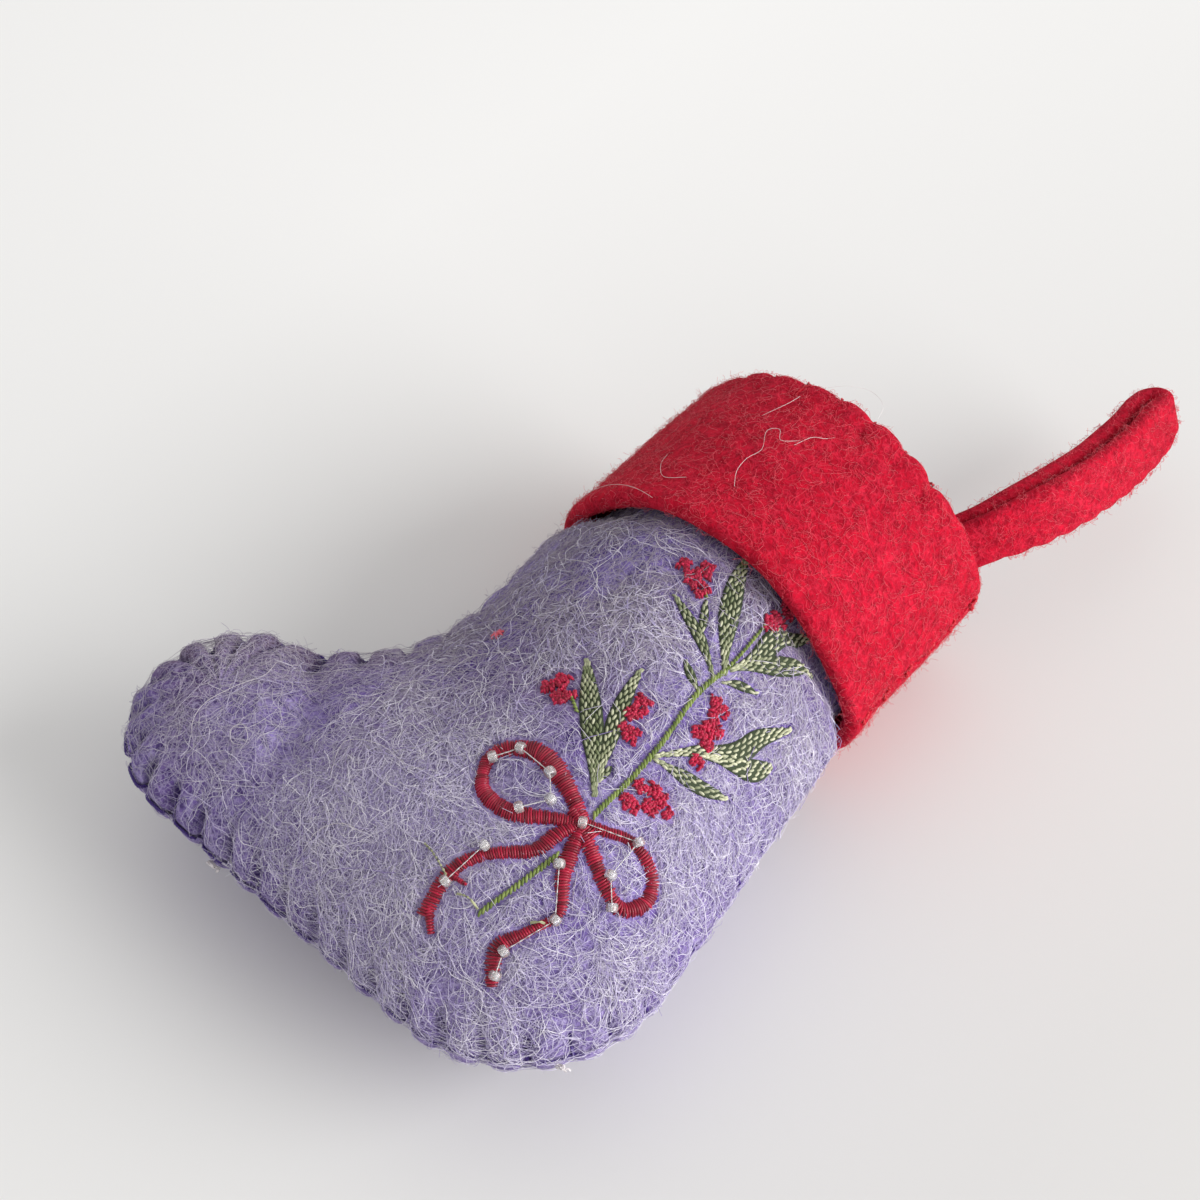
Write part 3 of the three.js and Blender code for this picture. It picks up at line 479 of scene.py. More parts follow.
# %% Panels
COLUMNS = 40
SPAN_STEPS = (12, 60, 84, 104, 100)
TOP_STEPS = 22
CROWN_POWER = 1.7
INNER_POWER = 1.24
EDGE_ROLL = 1.5
DIMPLE_DEPTH = 2.7
DIMPLE_WIDTH = 0.7
DIMPLE_SPARE = 1.2
PUFF_HEIGHT = 1.0
PUFF_MIDDLE = 0.55
SCALLOP = 0.2
SCALLOP_FADE = (0.2, 4.5)
DIMPLE_RISE = (0.3, 2.5)
PUFF_RISE = (0.3, 2.4)
TIGHTNESS = (0.3, 0.35, 0.65, 1.15, 1.0, 0.9, 0.55, 0.12, 0.1)
BITES = (3.0, 4.0, 9.5, 11.5, 5.6, 4.4, 4.0, 3.0, 3.0)
LUMP_HEIGHT = 0.55
LUMP_SIZE = 15
SMALL_LUMP_SIZE = 5
SMALL_LUMP_SHARE = 0.45
CROWN_START = 6
REST_SOFTNESS = 0.8
TOE_CREASE = np.array([[-41.0, 37.0], [-32.4, 29.5], [-29.9, 23.3], [-28.0, 18.0]])
CREASE_DEPTH = 1.7
CREASE_WIDTH = 3.2
# Middle of the foot: a paler patch, partly paler wool and partly painted light where the window falls.
PALE_LIT_PLACE = np.array([-5.0, 19.0])
PALE_LIT_REACH = np.array([15.0, 11.0])

panel_rungs = make_rungs(STOCKING_HEIGHT, TOP_STEPS, SPAN_STEPS)
steps = np.linspace(0, 1, COLUMNS + 1)
column_share = 0.75 * steps**2 + 0.25 * steps


def half_ribs(rungs, end):
    """Unit vectors into the panel, rib lengths, and how square each rib stands to its edge."""
    inward = rungs["ridge"] - rungs[end]
    length = np.maximum(np.linalg.norm(inward, axis=1), 1e-6)
    inward = inward / length[:, None]
    edge = np.gradient(rungs[end], axis=0)
    edge /= np.maximum(np.linalg.norm(edge, axis=1), 1e-6)[:, None]
    square = np.abs(edge[:, 0] * inward[:, 1] - edge[:, 1] * inward[:, 0])
    return inward, length, np.clip(square, 0.6, 1)


edge_middles = outline_run[SAMPLES_PER_EDGE // 2::SAMPLES_PER_EDGE]
hand = np.random.default_rng(3)
stitch_tightness = np.interp(stitch_runs, edge_middles, TIGHTNESS) * hand.uniform(0.6, 1.2, stitch_count)


def stitch_pull(run):
    """1 at a tight stitch and 0 between, and the puff that stands between two stitches."""
    stitched = (run > 0) & (run < outline_run[-1])
    pitch = outline_run[-1] / stitch_count
    place = np.clip(run / pitch, 0, stitch_count - 0.001)
    off = place % 1 - 0.5
    pull = np.exp(-((off * pitch / DIMPLE_WIDTH) ** 2)) * stitch_tightness[place.astype(int)]
    puff = (np.sin(np.pi * np.abs(off)) ** 0.7 - PUFF_MIDDLE) * np.interp(run, edge_middles, TIGHTNESS)
    return pull * stitched, puff * stitched


def line_distance(points, line):
    """Distance of flat points from a broken line."""
    best = np.full(points.shape[:-1], np.inf)
    for a, b in zip(line[:-1], line[1:]):
        t = np.clip(((points - a) @ (b - a)) / ((b - a) @ (b - a)), 0, 1)
        best = np.minimum(best, np.linalg.norm(points - a - t[..., None] * (b - a), axis=-1))
    return best


def outer_half(rungs, end, heights):
    """Points of one half of the crown from its edge to the ridge, and what the stitches do to each."""
    inward, length, square = half_ribs(rungs, end)
    along = length[:, None] * column_share
    depth = along * square[:, None]
    flat = rungs[end][:, None, :] + inward[:, None, :] * along[..., None]
    roll = EDGE_FELT * np.sqrt(1 - (1 - np.clip(depth / EDGE_ROLL, 0, 1)) ** 2)
    dome = (1 - (1 - column_share) ** 2) ** (CROWN_POWER / 2)
    z = SEAM_GAP / 2 + roll + (heights - EDGE_FELT)[:, None] * dome
    climb = np.hypot(np.diff(depth, axis=1), np.diff(z, axis=1))
    surface = np.pad(np.cumsum(climb, axis=1), ((0, 0), (1, 0)))
    run = run_of(rungs[end])
    pull, puff = stitch_pull(run)
    reach = (np.interp(run, edge_middles, BITES) + DIMPLE_SPARE)[:, None]
    near = 1 - ease(surface, *SCALLOP_FADE)
    scallop = SCALLOP * (0.6 * puff - pull)[:, None] * near
    flat = flat - inward[:, None, :] * scallop[..., None]
    dimple = pull[:, None] * (1 - ease(surface, 0.65 * reach, reach))
    dimple = dimple * (0.4 + 0.6 * ease(surface, *DIMPLE_RISE))
    swell = puff[:, None] * ease(surface, *PUFF_RISE) * (1 - ease(surface, 0.8 * reach, 1.8 * reach))
    return np.concatenate([flat, z[..., None]], axis=-1), PUFF_HEIGHT * swell - DIMPLE_DEPTH * dimple, dimple


def outer_skin(rungs, side):
    """Outer face of one panel, with the front facing up, and how hard the stitches pull at each point, which
    the felt finish paints darker as shade in the dimples.
    """
    heights = rungs["rise"] if side == "front" else rungs["depth"]
    halves = [outer_half(rungs, end, heights) for end in ("front", "back")]
    points, push, pulled = (
        np.concatenate([near, far[:, -2::-1]], axis=1) for near, far in zip(*halves))
    inside = np.clip(points[..., 2] / CROWN_START, 0, 1)
    seed = 1 if side == "front" else 2
    swelling = lumps(points, LUMP_SIZE, seed) + SMALL_LUMP_SHARE * lumps(points, SMALL_LUMP_SIZE, seed + 2)
    push = push + inside * LUMP_HEIGHT * swelling
    if side == "front":
        crease = np.exp(-((line_distance(points[..., :2], TOE_CREASE) / CREASE_WIDTH) ** 2))
        push = push - CREASE_DEPTH * crease * inside
    points = points + grid_normals(points, UP) * push[..., None]
    points[..., 2] = np.maximum(points[..., 2], SEAM_GAP / 2)
    if side == "back":
        spare = np.clip((REST_DEPTH - points[..., 2]) / REST_SOFTNESS, -30, 30)
        points[..., 2] = REST_DEPTH - REST_SOFTNESS * np.log1p(np.exp(spare))
    return points, pulled


def inner_skin(rungs, side):
    """Inner face of one panel, which starts where the seam ends."""
    heights = rungs["rise"] if side == "front" else rungs["depth"]
    limit = np.inf if side == "front" else REST_DEPTH
    halves = []
    for end in ("front", "back"):
        inward, length, square = half_ribs(rungs, end)
        start = np.minimum((SEAM_WIDTH + FELT) / square, 0.8 * length)
        along = start[:, None] + (length - start)[:, None] * column_share
        flat = rungs[end][:, None, :] + inward[:, None, :] * along[..., None]
        dome = (1 - (1 - column_share) ** 2) ** (INNER_POWER / 2)
        z = SEAM_GAP / 2 + (np.minimum(heights, limit) - FELT - SEAM_GAP / 2)[:, None] * dome
        halves.append(np.concatenate([flat, z[..., None]], axis=-1))
    return np.concatenate([halves[0], halves[1][:, -2::-1]], axis=1)


def pale_lit_share(points):
    """1 in the middle of the paler patch on the foot, partly paler wool and partly painted light, 0 away from
    it.
    """
    gap = np.linalg.norm((points[..., :2] - PALE_LIT_PLACE) / PALE_LIT_REACH, axis=-1)
    return np.exp(-(gap**2))


def felt_panel(name, side):
    """One panel with its outer face, its inner face and the rim that joins them at the mouth."""
    outer, pulled = outer_skin(panel_rungs, side)
    inner = inner_skin(panel_rungs, side)
    if side == "back":
        outer[..., 2] *= -1
        inner[..., 2] *= -1
    loops = np.concatenate([outer, inner[:, ::-1]], axis=1)
    rows, columns = loops.shape[:2]
    faces = grid_faces(rows, columns, ring_columns=True)
    width = outer.shape[1]
    rim = [(k, columns - 1 - k, columns - 2 - k, k + 1) for k in range(width - 1)]
    pulled = np.concatenate([pulled, np.zeros(inner.shape[:2])], axis=1).ravel()
    # Paler patch mid-foot, partly paler wool and partly painted light, on the outer face only.
    pale = pale_lit_share(loops).ravel() * (loops[..., 2] > 0).ravel()
    panel = plain_mesh(
        name, loops.reshape(-1, 3), np.vstack([faces, rim]), lavender_felt, pulled=pulled, pale=pale)
    return panel, outer


front_felt, front_skin = felt_panel("front_felt", "front")
back_felt, back_skin = felt_panel("back_felt", "back")
print("panels:", [len(p.data.polygons) for p in (front_felt, back_felt)], "faces")

# %% [markdown]
# ## The cuff
# The cuff is one strip of thick red felt wrapped round the top of the leg, with its cut ends meeting at
# the heel side. Its section, a long box with soft corners, is swept round the leg. Stitches over the
# rim pull it into scallops, the closing seam makes a groove, and the hem wavers a little.

# %% Cuff
HEM_FLARE = 1.2
HEM_SIDE_FLARE = 0.4
HEM_FLARE_HEIGHT = 14.0
CUFF_AROUND = 420
CUFF_CORNER = 1.35
CUFF_STEPS = 36
CORNER_STEPS = 6
RIM_STITCHES = 9
RIM_TURNS = np.radians(np.concatenate([
    np.linspace(52, 158, RIM_STITCHES), np.linspace(-158, -40, RIM_STITCHES)]))
RIM_DIMPLE = 0.85
RIM_SCALLOP = 0.4
rim_tightness = np.random.default_rng(5).uniform(0.5, 1.15, len(RIM_TURNS))
RIM_BITE = 4.5
RIM_PULL_WIDTH = 1.1
RIM_BITE_WIDTH = 1.2
CUFF_LUMPS = ((0.4, 13, 5), (0.22, 4.5, 6))
CUFF_GROOVE = 1.1
GROOVE_WIDTH = 0.9
HEM_WAVE = 0.7
HEM_WAVE_RADIUS = 12
HEM_WAVE_SIZE = 7
HEM_TRIM = 2.8
HEM_TRIMS = (HEM_TRIM, 2.0, 1.2, 0.3, 2.0)
HEM_TRIM_ANGLES = np.radians((0, 60, 90, 140, 180))


def cuff_place(angle, y, outward):
    """Place on the cuff: angle 0 at the heel side, turning over the front, outward from its inner face."""
    angle, y, outward = np.broadcast_arrays(angle, y, outward)
    flare = 1 - ease(y, HEM_HEIGHT, HEM_HEIGHT + HEM_FLARE_HEIGHT)
    off = CUFF_GAP + outward
    width = SEAT_WIDTH / 2 + off + HEM_SIDE_FLARE * flare
    front = RISES[0] + off + HEM_FLARE * flare - rim_sink(y)
    behind = np.minimum(DEPTHS[0] + off + HEM_FLARE * flare - rim_sink(y), REST_DEPTH + 2)
    sine = np.sin(angle)
    height = np.where(sine > 0, front, behind)
    z = np.sign(sine) * height * np.abs(sine) ** INNER_POWER
    z = np.maximum(z, outward - CUFF_FELT - REST_DEPTH)
    return np.stack([width * np.cos(angle), y, z], axis=-1)


def soft_box_section(length, thickness, corner, long_steps, corner_steps):
    """Closed outline of a long box with round corners: along from 0 to length, across from 0 to thickness."""
    quarter = np.linspace(0, np.pi / 2, corner_steps, endpoint=False)
    side = np.linspace(corner, length - corner, long_steps, endpoint=False)
    corners = [((length - corner, thickness - corner), 0), ((length - corner, corner), 1),
               ((corner, corner), 2), ((corner, thickness - corner), 3)]
    arcs = []
    for (along, across), turn in corners:
        angle = np.pi / 2 - turn * np.pi / 2 - quarter
        arcs.append(np.stack([along + corner * np.cos(angle), across + corner * np.sin(angle)], axis=1))
    top = np.stack([side, np.full_like(side, thickness)], axis=1)
    under = np.stack([side[::-1] + side[1] - side[0], np.zeros_like(side)], axis=1)
    return np.concatenate([top, arcs[0], arcs[1], under, arcs[2], arcs[3]])


def turn_gap(angle, others):
    """Smallest turn from each angle to one of the others, and which one that is."""
    gap = (angle[:, None] - others + np.pi) % (2 * np.pi) - np.pi
    nearest = np.abs(gap).argmin(1)
    return gap[np.arange(len(angle)), nearest], nearest


cuff_section = soft_box_section(CUFF_HEIGHT, CUFF_FELT, CUFF_CORNER, CUFF_STEPS, CORNER_STEPS)


def seam_groove(angle):
    """1 in the groove of the closing seam, falling to 0 beside it."""
    return np.exp(-((np.sin(angle) * SEAT_WIDTH / 2 / GROOVE_WIDTH) ** 2))


def cuff_points(section):
    """Grid round the leg: rows turn about it and columns follow the section."""
    angle = np.linspace(0, 2 * np.pi, CUFF_AROUND, endpoint=False)
    angle = (angle + np.pi) % (2 * np.pi) - np.pi
    y = HEM_HEIGHT + section[:, 0]
    points = cuff_place(angle[:, None], y[None, :], section[None, :, 1])
    radius = np.linalg.norm(cuff_place(angle, STOCKING_HEIGHT, CUFF_FELT)[:, [0, 2]], axis=1)
    turn, nearest = turn_gap(angle, RIM_TURNS)
    pull = np.exp(-((turn * radius / RIM_PULL_WIDTH) ** 2)) * rim_tightness[nearest]
    dot = np.exp(-(((y - STOCKING_HEIGHT + RIM_BITE) / RIM_BITE_WIDTH) ** 2))
    near_rim = np.maximum(dot, 0.5 * ease(y, STOCKING_HEIGHT - RIM_BITE, STOCKING_HEIGHT - 1.0))
    outer_side = section[:, 1] / CUFF_FELT
    push = -RIM_DIMPLE * pull[:, None] * near_rim * outer_side
    groove = seam_groove(angle) * (np.cos(angle) > 0)
    push = push - CUFF_GROOVE * groove[:, None] * outer_side
    normals = grid_normals(points, UP)
    middle = cuff_place(angle[:, None], y[None, :], CUFF_FELT / 2)
    outward = points - middle
    outward[..., 1] = 0
    facing = np.sign((normals * outward).sum(-1))[..., None]
    normals = normals * np.where(facing == 0, 1, facing)
    for height, size, seed in CUFF_LUMPS:
        push = push + height * lumps(points, size, seed)
    points = points + normals * push[..., None] * (outer_side > 0.3)[None, :, None]
    crest = ease(y, STOCKING_HEIGHT - 3.0, STOCKING_HEIGHT)
    points[..., 1] += crest * (RIM_SCALLOP * (0.4 - pull[:, None]) + 0.35 * lumps(points, 3.5, 12))
    hem = 1 - ease(y, HEM_HEIGHT, HEM_HEIGHT + HEM_FLARE_HEIGHT)
    ring = HEM_WAVE_RADIUS * np.stack([np.cos(angle), np.sin(angle), 0 * angle], axis=1)
    wave = lumps(ring, HEM_WAVE_SIZE, 8)
    trim = np.interp(np.abs(angle), HEM_TRIM_ANGLES, HEM_TRIMS)
    points[..., 1] += hem * (trim + HEM_WAVE * wave)[:, None]
    points[..., 2] = np.maximum(points[..., 2], 0.02 - REST_DEPTH)
    return points


cuff_grid = cuff_points(cuff_section)
cuff_felt = plain_mesh(
    "cuff_felt", cuff_grid.reshape(-1, 3), grid_faces(*cuff_grid.shape[:2], True, True), red_felt)
print("cuff:", len(cuff_felt.data.polygons), "faces")

# %% [markdown]
# ## The hanging strap
# The strap is one strip of felt, folded double: both ends are sewn in between leg and cuff, and the
# fold makes the eye that hangs on a twig. Its middle line is drawn in a plane of its own, out from the
# leg and up past the rim, and a soft box section follows it.

# %% Strap
STRAP_FELT = 2.6
STRAP_PLUMP = 3.3
STRAP_WIDTH = 10.2
STRAP_STEPS = 14
STRAP_ROOT_SHARE = 0.86
STRAP_LAYER_GAP = 0.05
LOOP_LENGTH = 49.4
LOOP_FOLD_RADIUS = 1.95
LOOP_BOWS = ((5.5, 8.2), (9.4, 20.1))
LOOP_TIP_SWING = 4.2
LOOP_DROOP = 7.7
LOOP_LEAN = math.radians(20)
LOOP_ROOT = np.array([20.3, STOCKING_HEIGHT + 3.6, 2.0])
TAIL_DEPTH = 13.5
STRAP_SCALLOP = 0.6
STRAP_TIP_ROUND = 0.26
STRAP_PUFF = 4.8
STRAP_PLUMP_RISE = (1.0, 12.0)
STRAP_WIDTH_RISE = (1.0, 15.0)
STRAP_SCALLOP_RISE = (2.0, 8.0)
STRAP_TIP_LENGTH = 6.0
STRAP_LUMP_HEIGHT = 0.35
STRAP_LUMP_SIZE = 6
STRAP_LUMP_WAY = np.array([0.7, 0.2, 0.7])
LEG_STOPS = 60
FOLD_STOPS = 26
TAIL_STOPS = 14
SMOOTHING_ROUNDS = 4
loop_out = np.array([math.cos(LOOP_LEAN), 0, math.sin(LOOP_LEAN)])
loop_wide = np.array([-math.sin(LOOP_LEAN), 0, math.cos(LOOP_LEAN)])


def line_frame(line):
    """Unit steps along a flat line, and the unit vectors to its right."""
    along = np.gradient(line, axis=0)
    along /= np.linalg.norm(along, axis=1)[:, None]
    return along, np.stack([along[:, 1], -along[:, 0]], axis=1)


def strap_line():
    """Middle line of the strip from one sewn end over the fold to the other, out and up in its plane."""
    tip = (LOOP_TIP_SWING, LOOP_LENGTH - LOOP_FOLD_RADIUS)
    t = np.linspace(0, 1, LEG_STOPS)
    middle = bezier([(0, 0), *LOOP_BOWS, tip], t)
    along, side = line_frame(middle)
    closed = (STRAP_FELT + STRAP_LAYER_GAP) / 2
    apart = closed + (LOOP_FOLD_RADIUS - closed) * ease(t, 0.1, 0.6)
    near, far = (middle + sign * side * apart[:, None] for sign in (1, -1))
    heading = math.atan2(along[-1, 1], along[-1, 0])
    angle = heading - np.pi / 2 + np.linspace(0, np.pi, FOLD_STOPS)[1:-1]
    fold = middle[-1] + LOOP_FOLD_RADIUS * np.stack([np.cos(angle), np.sin(angle)], axis=1)
    drop = np.linspace(-TAIL_DEPTH, 0, TAIL_STOPS)[:-1]
    tails = [np.stack([np.full_like(drop, sign * closed), drop], axis=1) for sign in (1, -1)]
    line = np.concatenate([tails[0], near, fold, far[::-1], tails[1][::-1]])
    smooth = line.copy()
    for _ in range(SMOOTHING_ROUNDS):
        smooth[1:-1] = (smooth[:-2] + 2 * smooth[1:-1] + smooth[2:]) / 4
    return smooth


def strap_points():
    """Grid along the strip: rows follow its middle line and columns its section."""
    line = strap_line()
    side = line_frame(line)[1]
    section = soft_box_section(STRAP_WIDTH, STRAP_PLUMP, 0.49 * STRAP_PLUMP, STRAP_STEPS, CORNER_STEPS)
    wide = section[:, 0] - STRAP_WIDTH / 2
    slim = STRAP_FELT / STRAP_PLUMP
    plump = slim + (1 - slim) * ease(line[:, 1], *STRAP_PLUMP_RISE)
    thick = (section[:, 1] - STRAP_PLUMP / 2) * plump[:, None]
    travel = run_along(line)
    puff = np.abs(np.sin(np.pi * travel / STRAP_PUFF)) ** 0.8 - 0.6
    lower_edge = ease(-wide, 1.5, STRAP_WIDTH / 2)
    free = ease(line[:, 1], *STRAP_SCALLOP_RISE)
    fullness = STRAP_ROOT_SHARE + (1 - STRAP_ROOT_SHARE) * ease(line[:, 1], *STRAP_WIDTH_RISE)
    fullness *= 1 - STRAP_TIP_ROUND * ease(line[:, 1], LOOP_LENGTH - STRAP_TIP_LENGTH, LOOP_LENGTH)
    wide = wide * fullness[:, None] - STRAP_SCALLOP * puff[:, None] * lower_edge * free[:, None]
    droop = -LOOP_DROOP * ease(line[:, 1], 0, LOOP_LENGTH)
    flat = line[:, None, :] + side[:, None, :] * thick[..., None]
    across = wide + droop[:, None]
    return (LOOP_ROOT + flat[..., :1] * loop_out + across[..., None] * loop_wide
            + flat[..., 1:] * np.array([0, 1.0, 0]))


strap_grid = strap_points()
rows, columns = strap_grid.shape[:2]
strap_ends = [tuple(range(columns)), tuple(range((rows - 1) * columns, rows * columns))]
strap_faces = [*grid_faces(rows, columns, ring_columns=True).tolist(), *strap_ends]
strap_lumps = STRAP_LUMP_HEIGHT * lumps(strap_grid, STRAP_LUMP_SIZE, 9)
strap_shape = strap_grid + strap_lumps[..., None] * STRAP_LUMP_WAY
hanging_strap = plain_mesh("hanging_strap", strap_shape.reshape(-1, 3), strap_faces, red_felt)
print("strap:", len(hanging_strap.data.polygons), "faces")

# %% [markdown]
# ## The stuffing
# Loose polyester fibre fills the boot and shows as a white dome deep in the mouth. It is one lumpy body
# drawn from the same rungs, a little inside the felt, with a domed top.

# %% Stuffing
STUFFING_GAP = 0.5
STUFFING_DOME = 6.0
STUFFING_LEAST = 0.05
TOP_RINGS = 8
DOME_RINGS = 8
STUFFING_STEPS = (6, 14, 18, 18, 12)


def stuffing_points():
    """Grid of the stuffing: rings from the top of its dome down the leg and out to the toe."""
    rungs = make_rungs(STOCKING_HEIGHT - POCKET_DEPTH, TOP_RINGS, STUFFING_STEPS)
    front, behind = inner_skin(rungs, "front"), inner_skin(rungs, "back")
    front[..., 2] = np.maximum(front[..., 2] - STUFFING_GAP, STUFFING_LEAST)
    behind[..., 2] = -np.maximum(behind[..., 2] - STUFFING_GAP, STUFFING_LEAST)
    loops = np.concatenate([front, behind[:, ::-1]], axis=1)
    centre = loops[0].mean(0)
    turn = np.linspace(np.pi / 2, 0, DOME_RINGS, endpoint=False)
    caps = []
    for angle in turn:
        ring = centre + (loops[0] - centre) * max(math.cos(angle), 1e-3)
        caps.append(ring + np.array([0, STUFFING_DOME * math.sin(angle), 0]))
    points = np.concatenate([caps, loops])
    toward = points - points.mean(axis=1, keepdims=True)
    toward /= np.maximum(np.linalg.norm(toward, axis=-1, keepdims=True), 1e-6)
    return points - toward * (0.6 + 0.6 * lumps(points, 6, 11))[..., None]


stuffing_grid = stuffing_points()
stuffing = plain_mesh(
    "white_stuffing", stuffing_grid.reshape(-1, 3), [
        *grid_faces(*stuffing_grid.shape[:2], ring_columns=True).tolist(),
        tuple(range(stuffing_grid.shape[1]))], batting)
print("stuffing:", len(stuffing.data.polygons), "faces")

# %% [markdown]
# ## Trees that sew
# Sewing repeats one motion along a line, which is what geometry nodes are for. One tree sets a copy of a
# stitch on each station of a list, turned by two arrows kept with the station: up out of the felt, and
# across the line. A second tree spins a plied thread along a path. A third sows curly fibres over felt.

# %% Trees that sew
STRAND_SIDES = 6
RING_SHARE = 0.46
STRAND_SHARE = 0.6
PRESSED_DEPTH = 0.5
PRESSED_NEAR = 0.3
PRESSED_FAR = 0.75


def new_tree(name, inputs):
    tree = bpy.data.node_groups.new(name, "GeometryNodeTree")
    for label, kind in inputs.items():
        tree.interface.new_socket(label, in_out="INPUT", socket_type="NodeSocket" + kind)
    tree.interface.new_socket("Made", in_out="OUTPUT", socket_type="NodeSocketGeometry")
    recipe = Recipe(tree)
    return recipe, recipe.add("NodeGroupInput").outputs


def finish_tree(recipe, geometry, finish):
    done = recipe.add("GeometryNodeSetMaterial", {"Geometry": geometry, "Material": finish})
    smooth = recipe.add("GeometryNodeSetShadeSmooth", {"Geometry": done.outputs[0]})
    recipe.add("NodeGroupOutput", {0: smooth.outputs[0]})
    return recipe.tree


def named(recipe, name, kind):
    return recipe.add("GeometryNodeInputNamedAttribute", {"Name": name}, data_type=kind).outputs["Attribute"]


def sewn_copies_tree():
    recipe, given = new_tree("sewn_copies", {
        "Stations": "Geometry", "Stitch": "Object", "Thread": "Float", "Finish": "Material"})
    up = named(recipe, "up", "FLOAT_VECTOR")
    across = named(recipe, "across", "FLOAT_VECTOR")
    turn = recipe.add(
        "FunctionNodeAxesToRotation", {"Primary Axis": up, "Secondary Axis": across},
        primary_axis="Z", secondary_axis="X")
    reach = recipe.add("ShaderNodeVectorMath", {0: across}, operation="LENGTH").outputs["Value"]
    height = recipe.add("ShaderNodeVectorMath", {0: up}, operation="LENGTH").outputs["Value"]
    size = recipe.add("ShaderNodeCombineXYZ", {"X": reach, "Y": given["Thread"], "Z": height})
    stitch = recipe.add("GeometryNodeObjectInfo", {"Object": given["Stitch"]}).outputs["Geometry"]
    copies = recipe.add("GeometryNodeInstanceOnPoints", {
        "Points": given["Stations"], "Instance": stitch, "Rotation": turn.outputs[0],
        "Scale": size.outputs[0]})
    real = recipe.add("GeometryNodeRealizeInstances", {"Geometry": copies.outputs[0]})
    return finish_tree(recipe, real.outputs[0], given["Finish"])


def plied_thread_tree():
    recipe, given = new_tree("plied_thread", {
        "Path": "Geometry", "Radius": "Float", "Pitch": "Float", "Plies": "Int", "Finish": "Material"})
    path = recipe.add("GeometryNodeMeshToCurve", {"Mesh": given["Path"]})
    run = recipe.add("GeometryNodeSplineParameter").outputs["Length"]
    twist = recipe.math("MULTIPLY", recipe.math("DIVIDE", run, given["Pitch"]), math.tau)
    turned = recipe.add("GeometryNodeSetCurveTilt", {"Curve": path.outputs[0], "Tilt": twist})
    ring = recipe.add("GeometryNodeCurvePrimitiveCircle", {
        "Resolution": given["Plies"], "Radius": recipe.math("MULTIPLY", given["Radius"], RING_SHARE)})
    strand = recipe.add("GeometryNodeCurvePrimitiveCircle", {
        "Resolution": STRAND_SIDES, "Radius": recipe.math("MULTIPLY", given["Radius"], STRAND_SHARE)})
    plies = recipe.add("GeometryNodeInstanceOnPoints", {
        "Points": ring.outputs[0], "Instance": strand.outputs[0]})
    profile = recipe.add("GeometryNodeRealizeInstances", {"Geometry": plies.outputs[0]})
    thread = recipe.add("GeometryNodeCurveToMesh", {
        "Curve": turned.outputs[0], "Profile Curve": profile.outputs[0], "Fill Caps": True})
    return finish_tree(recipe, thread.outputs[0], given["Finish"])


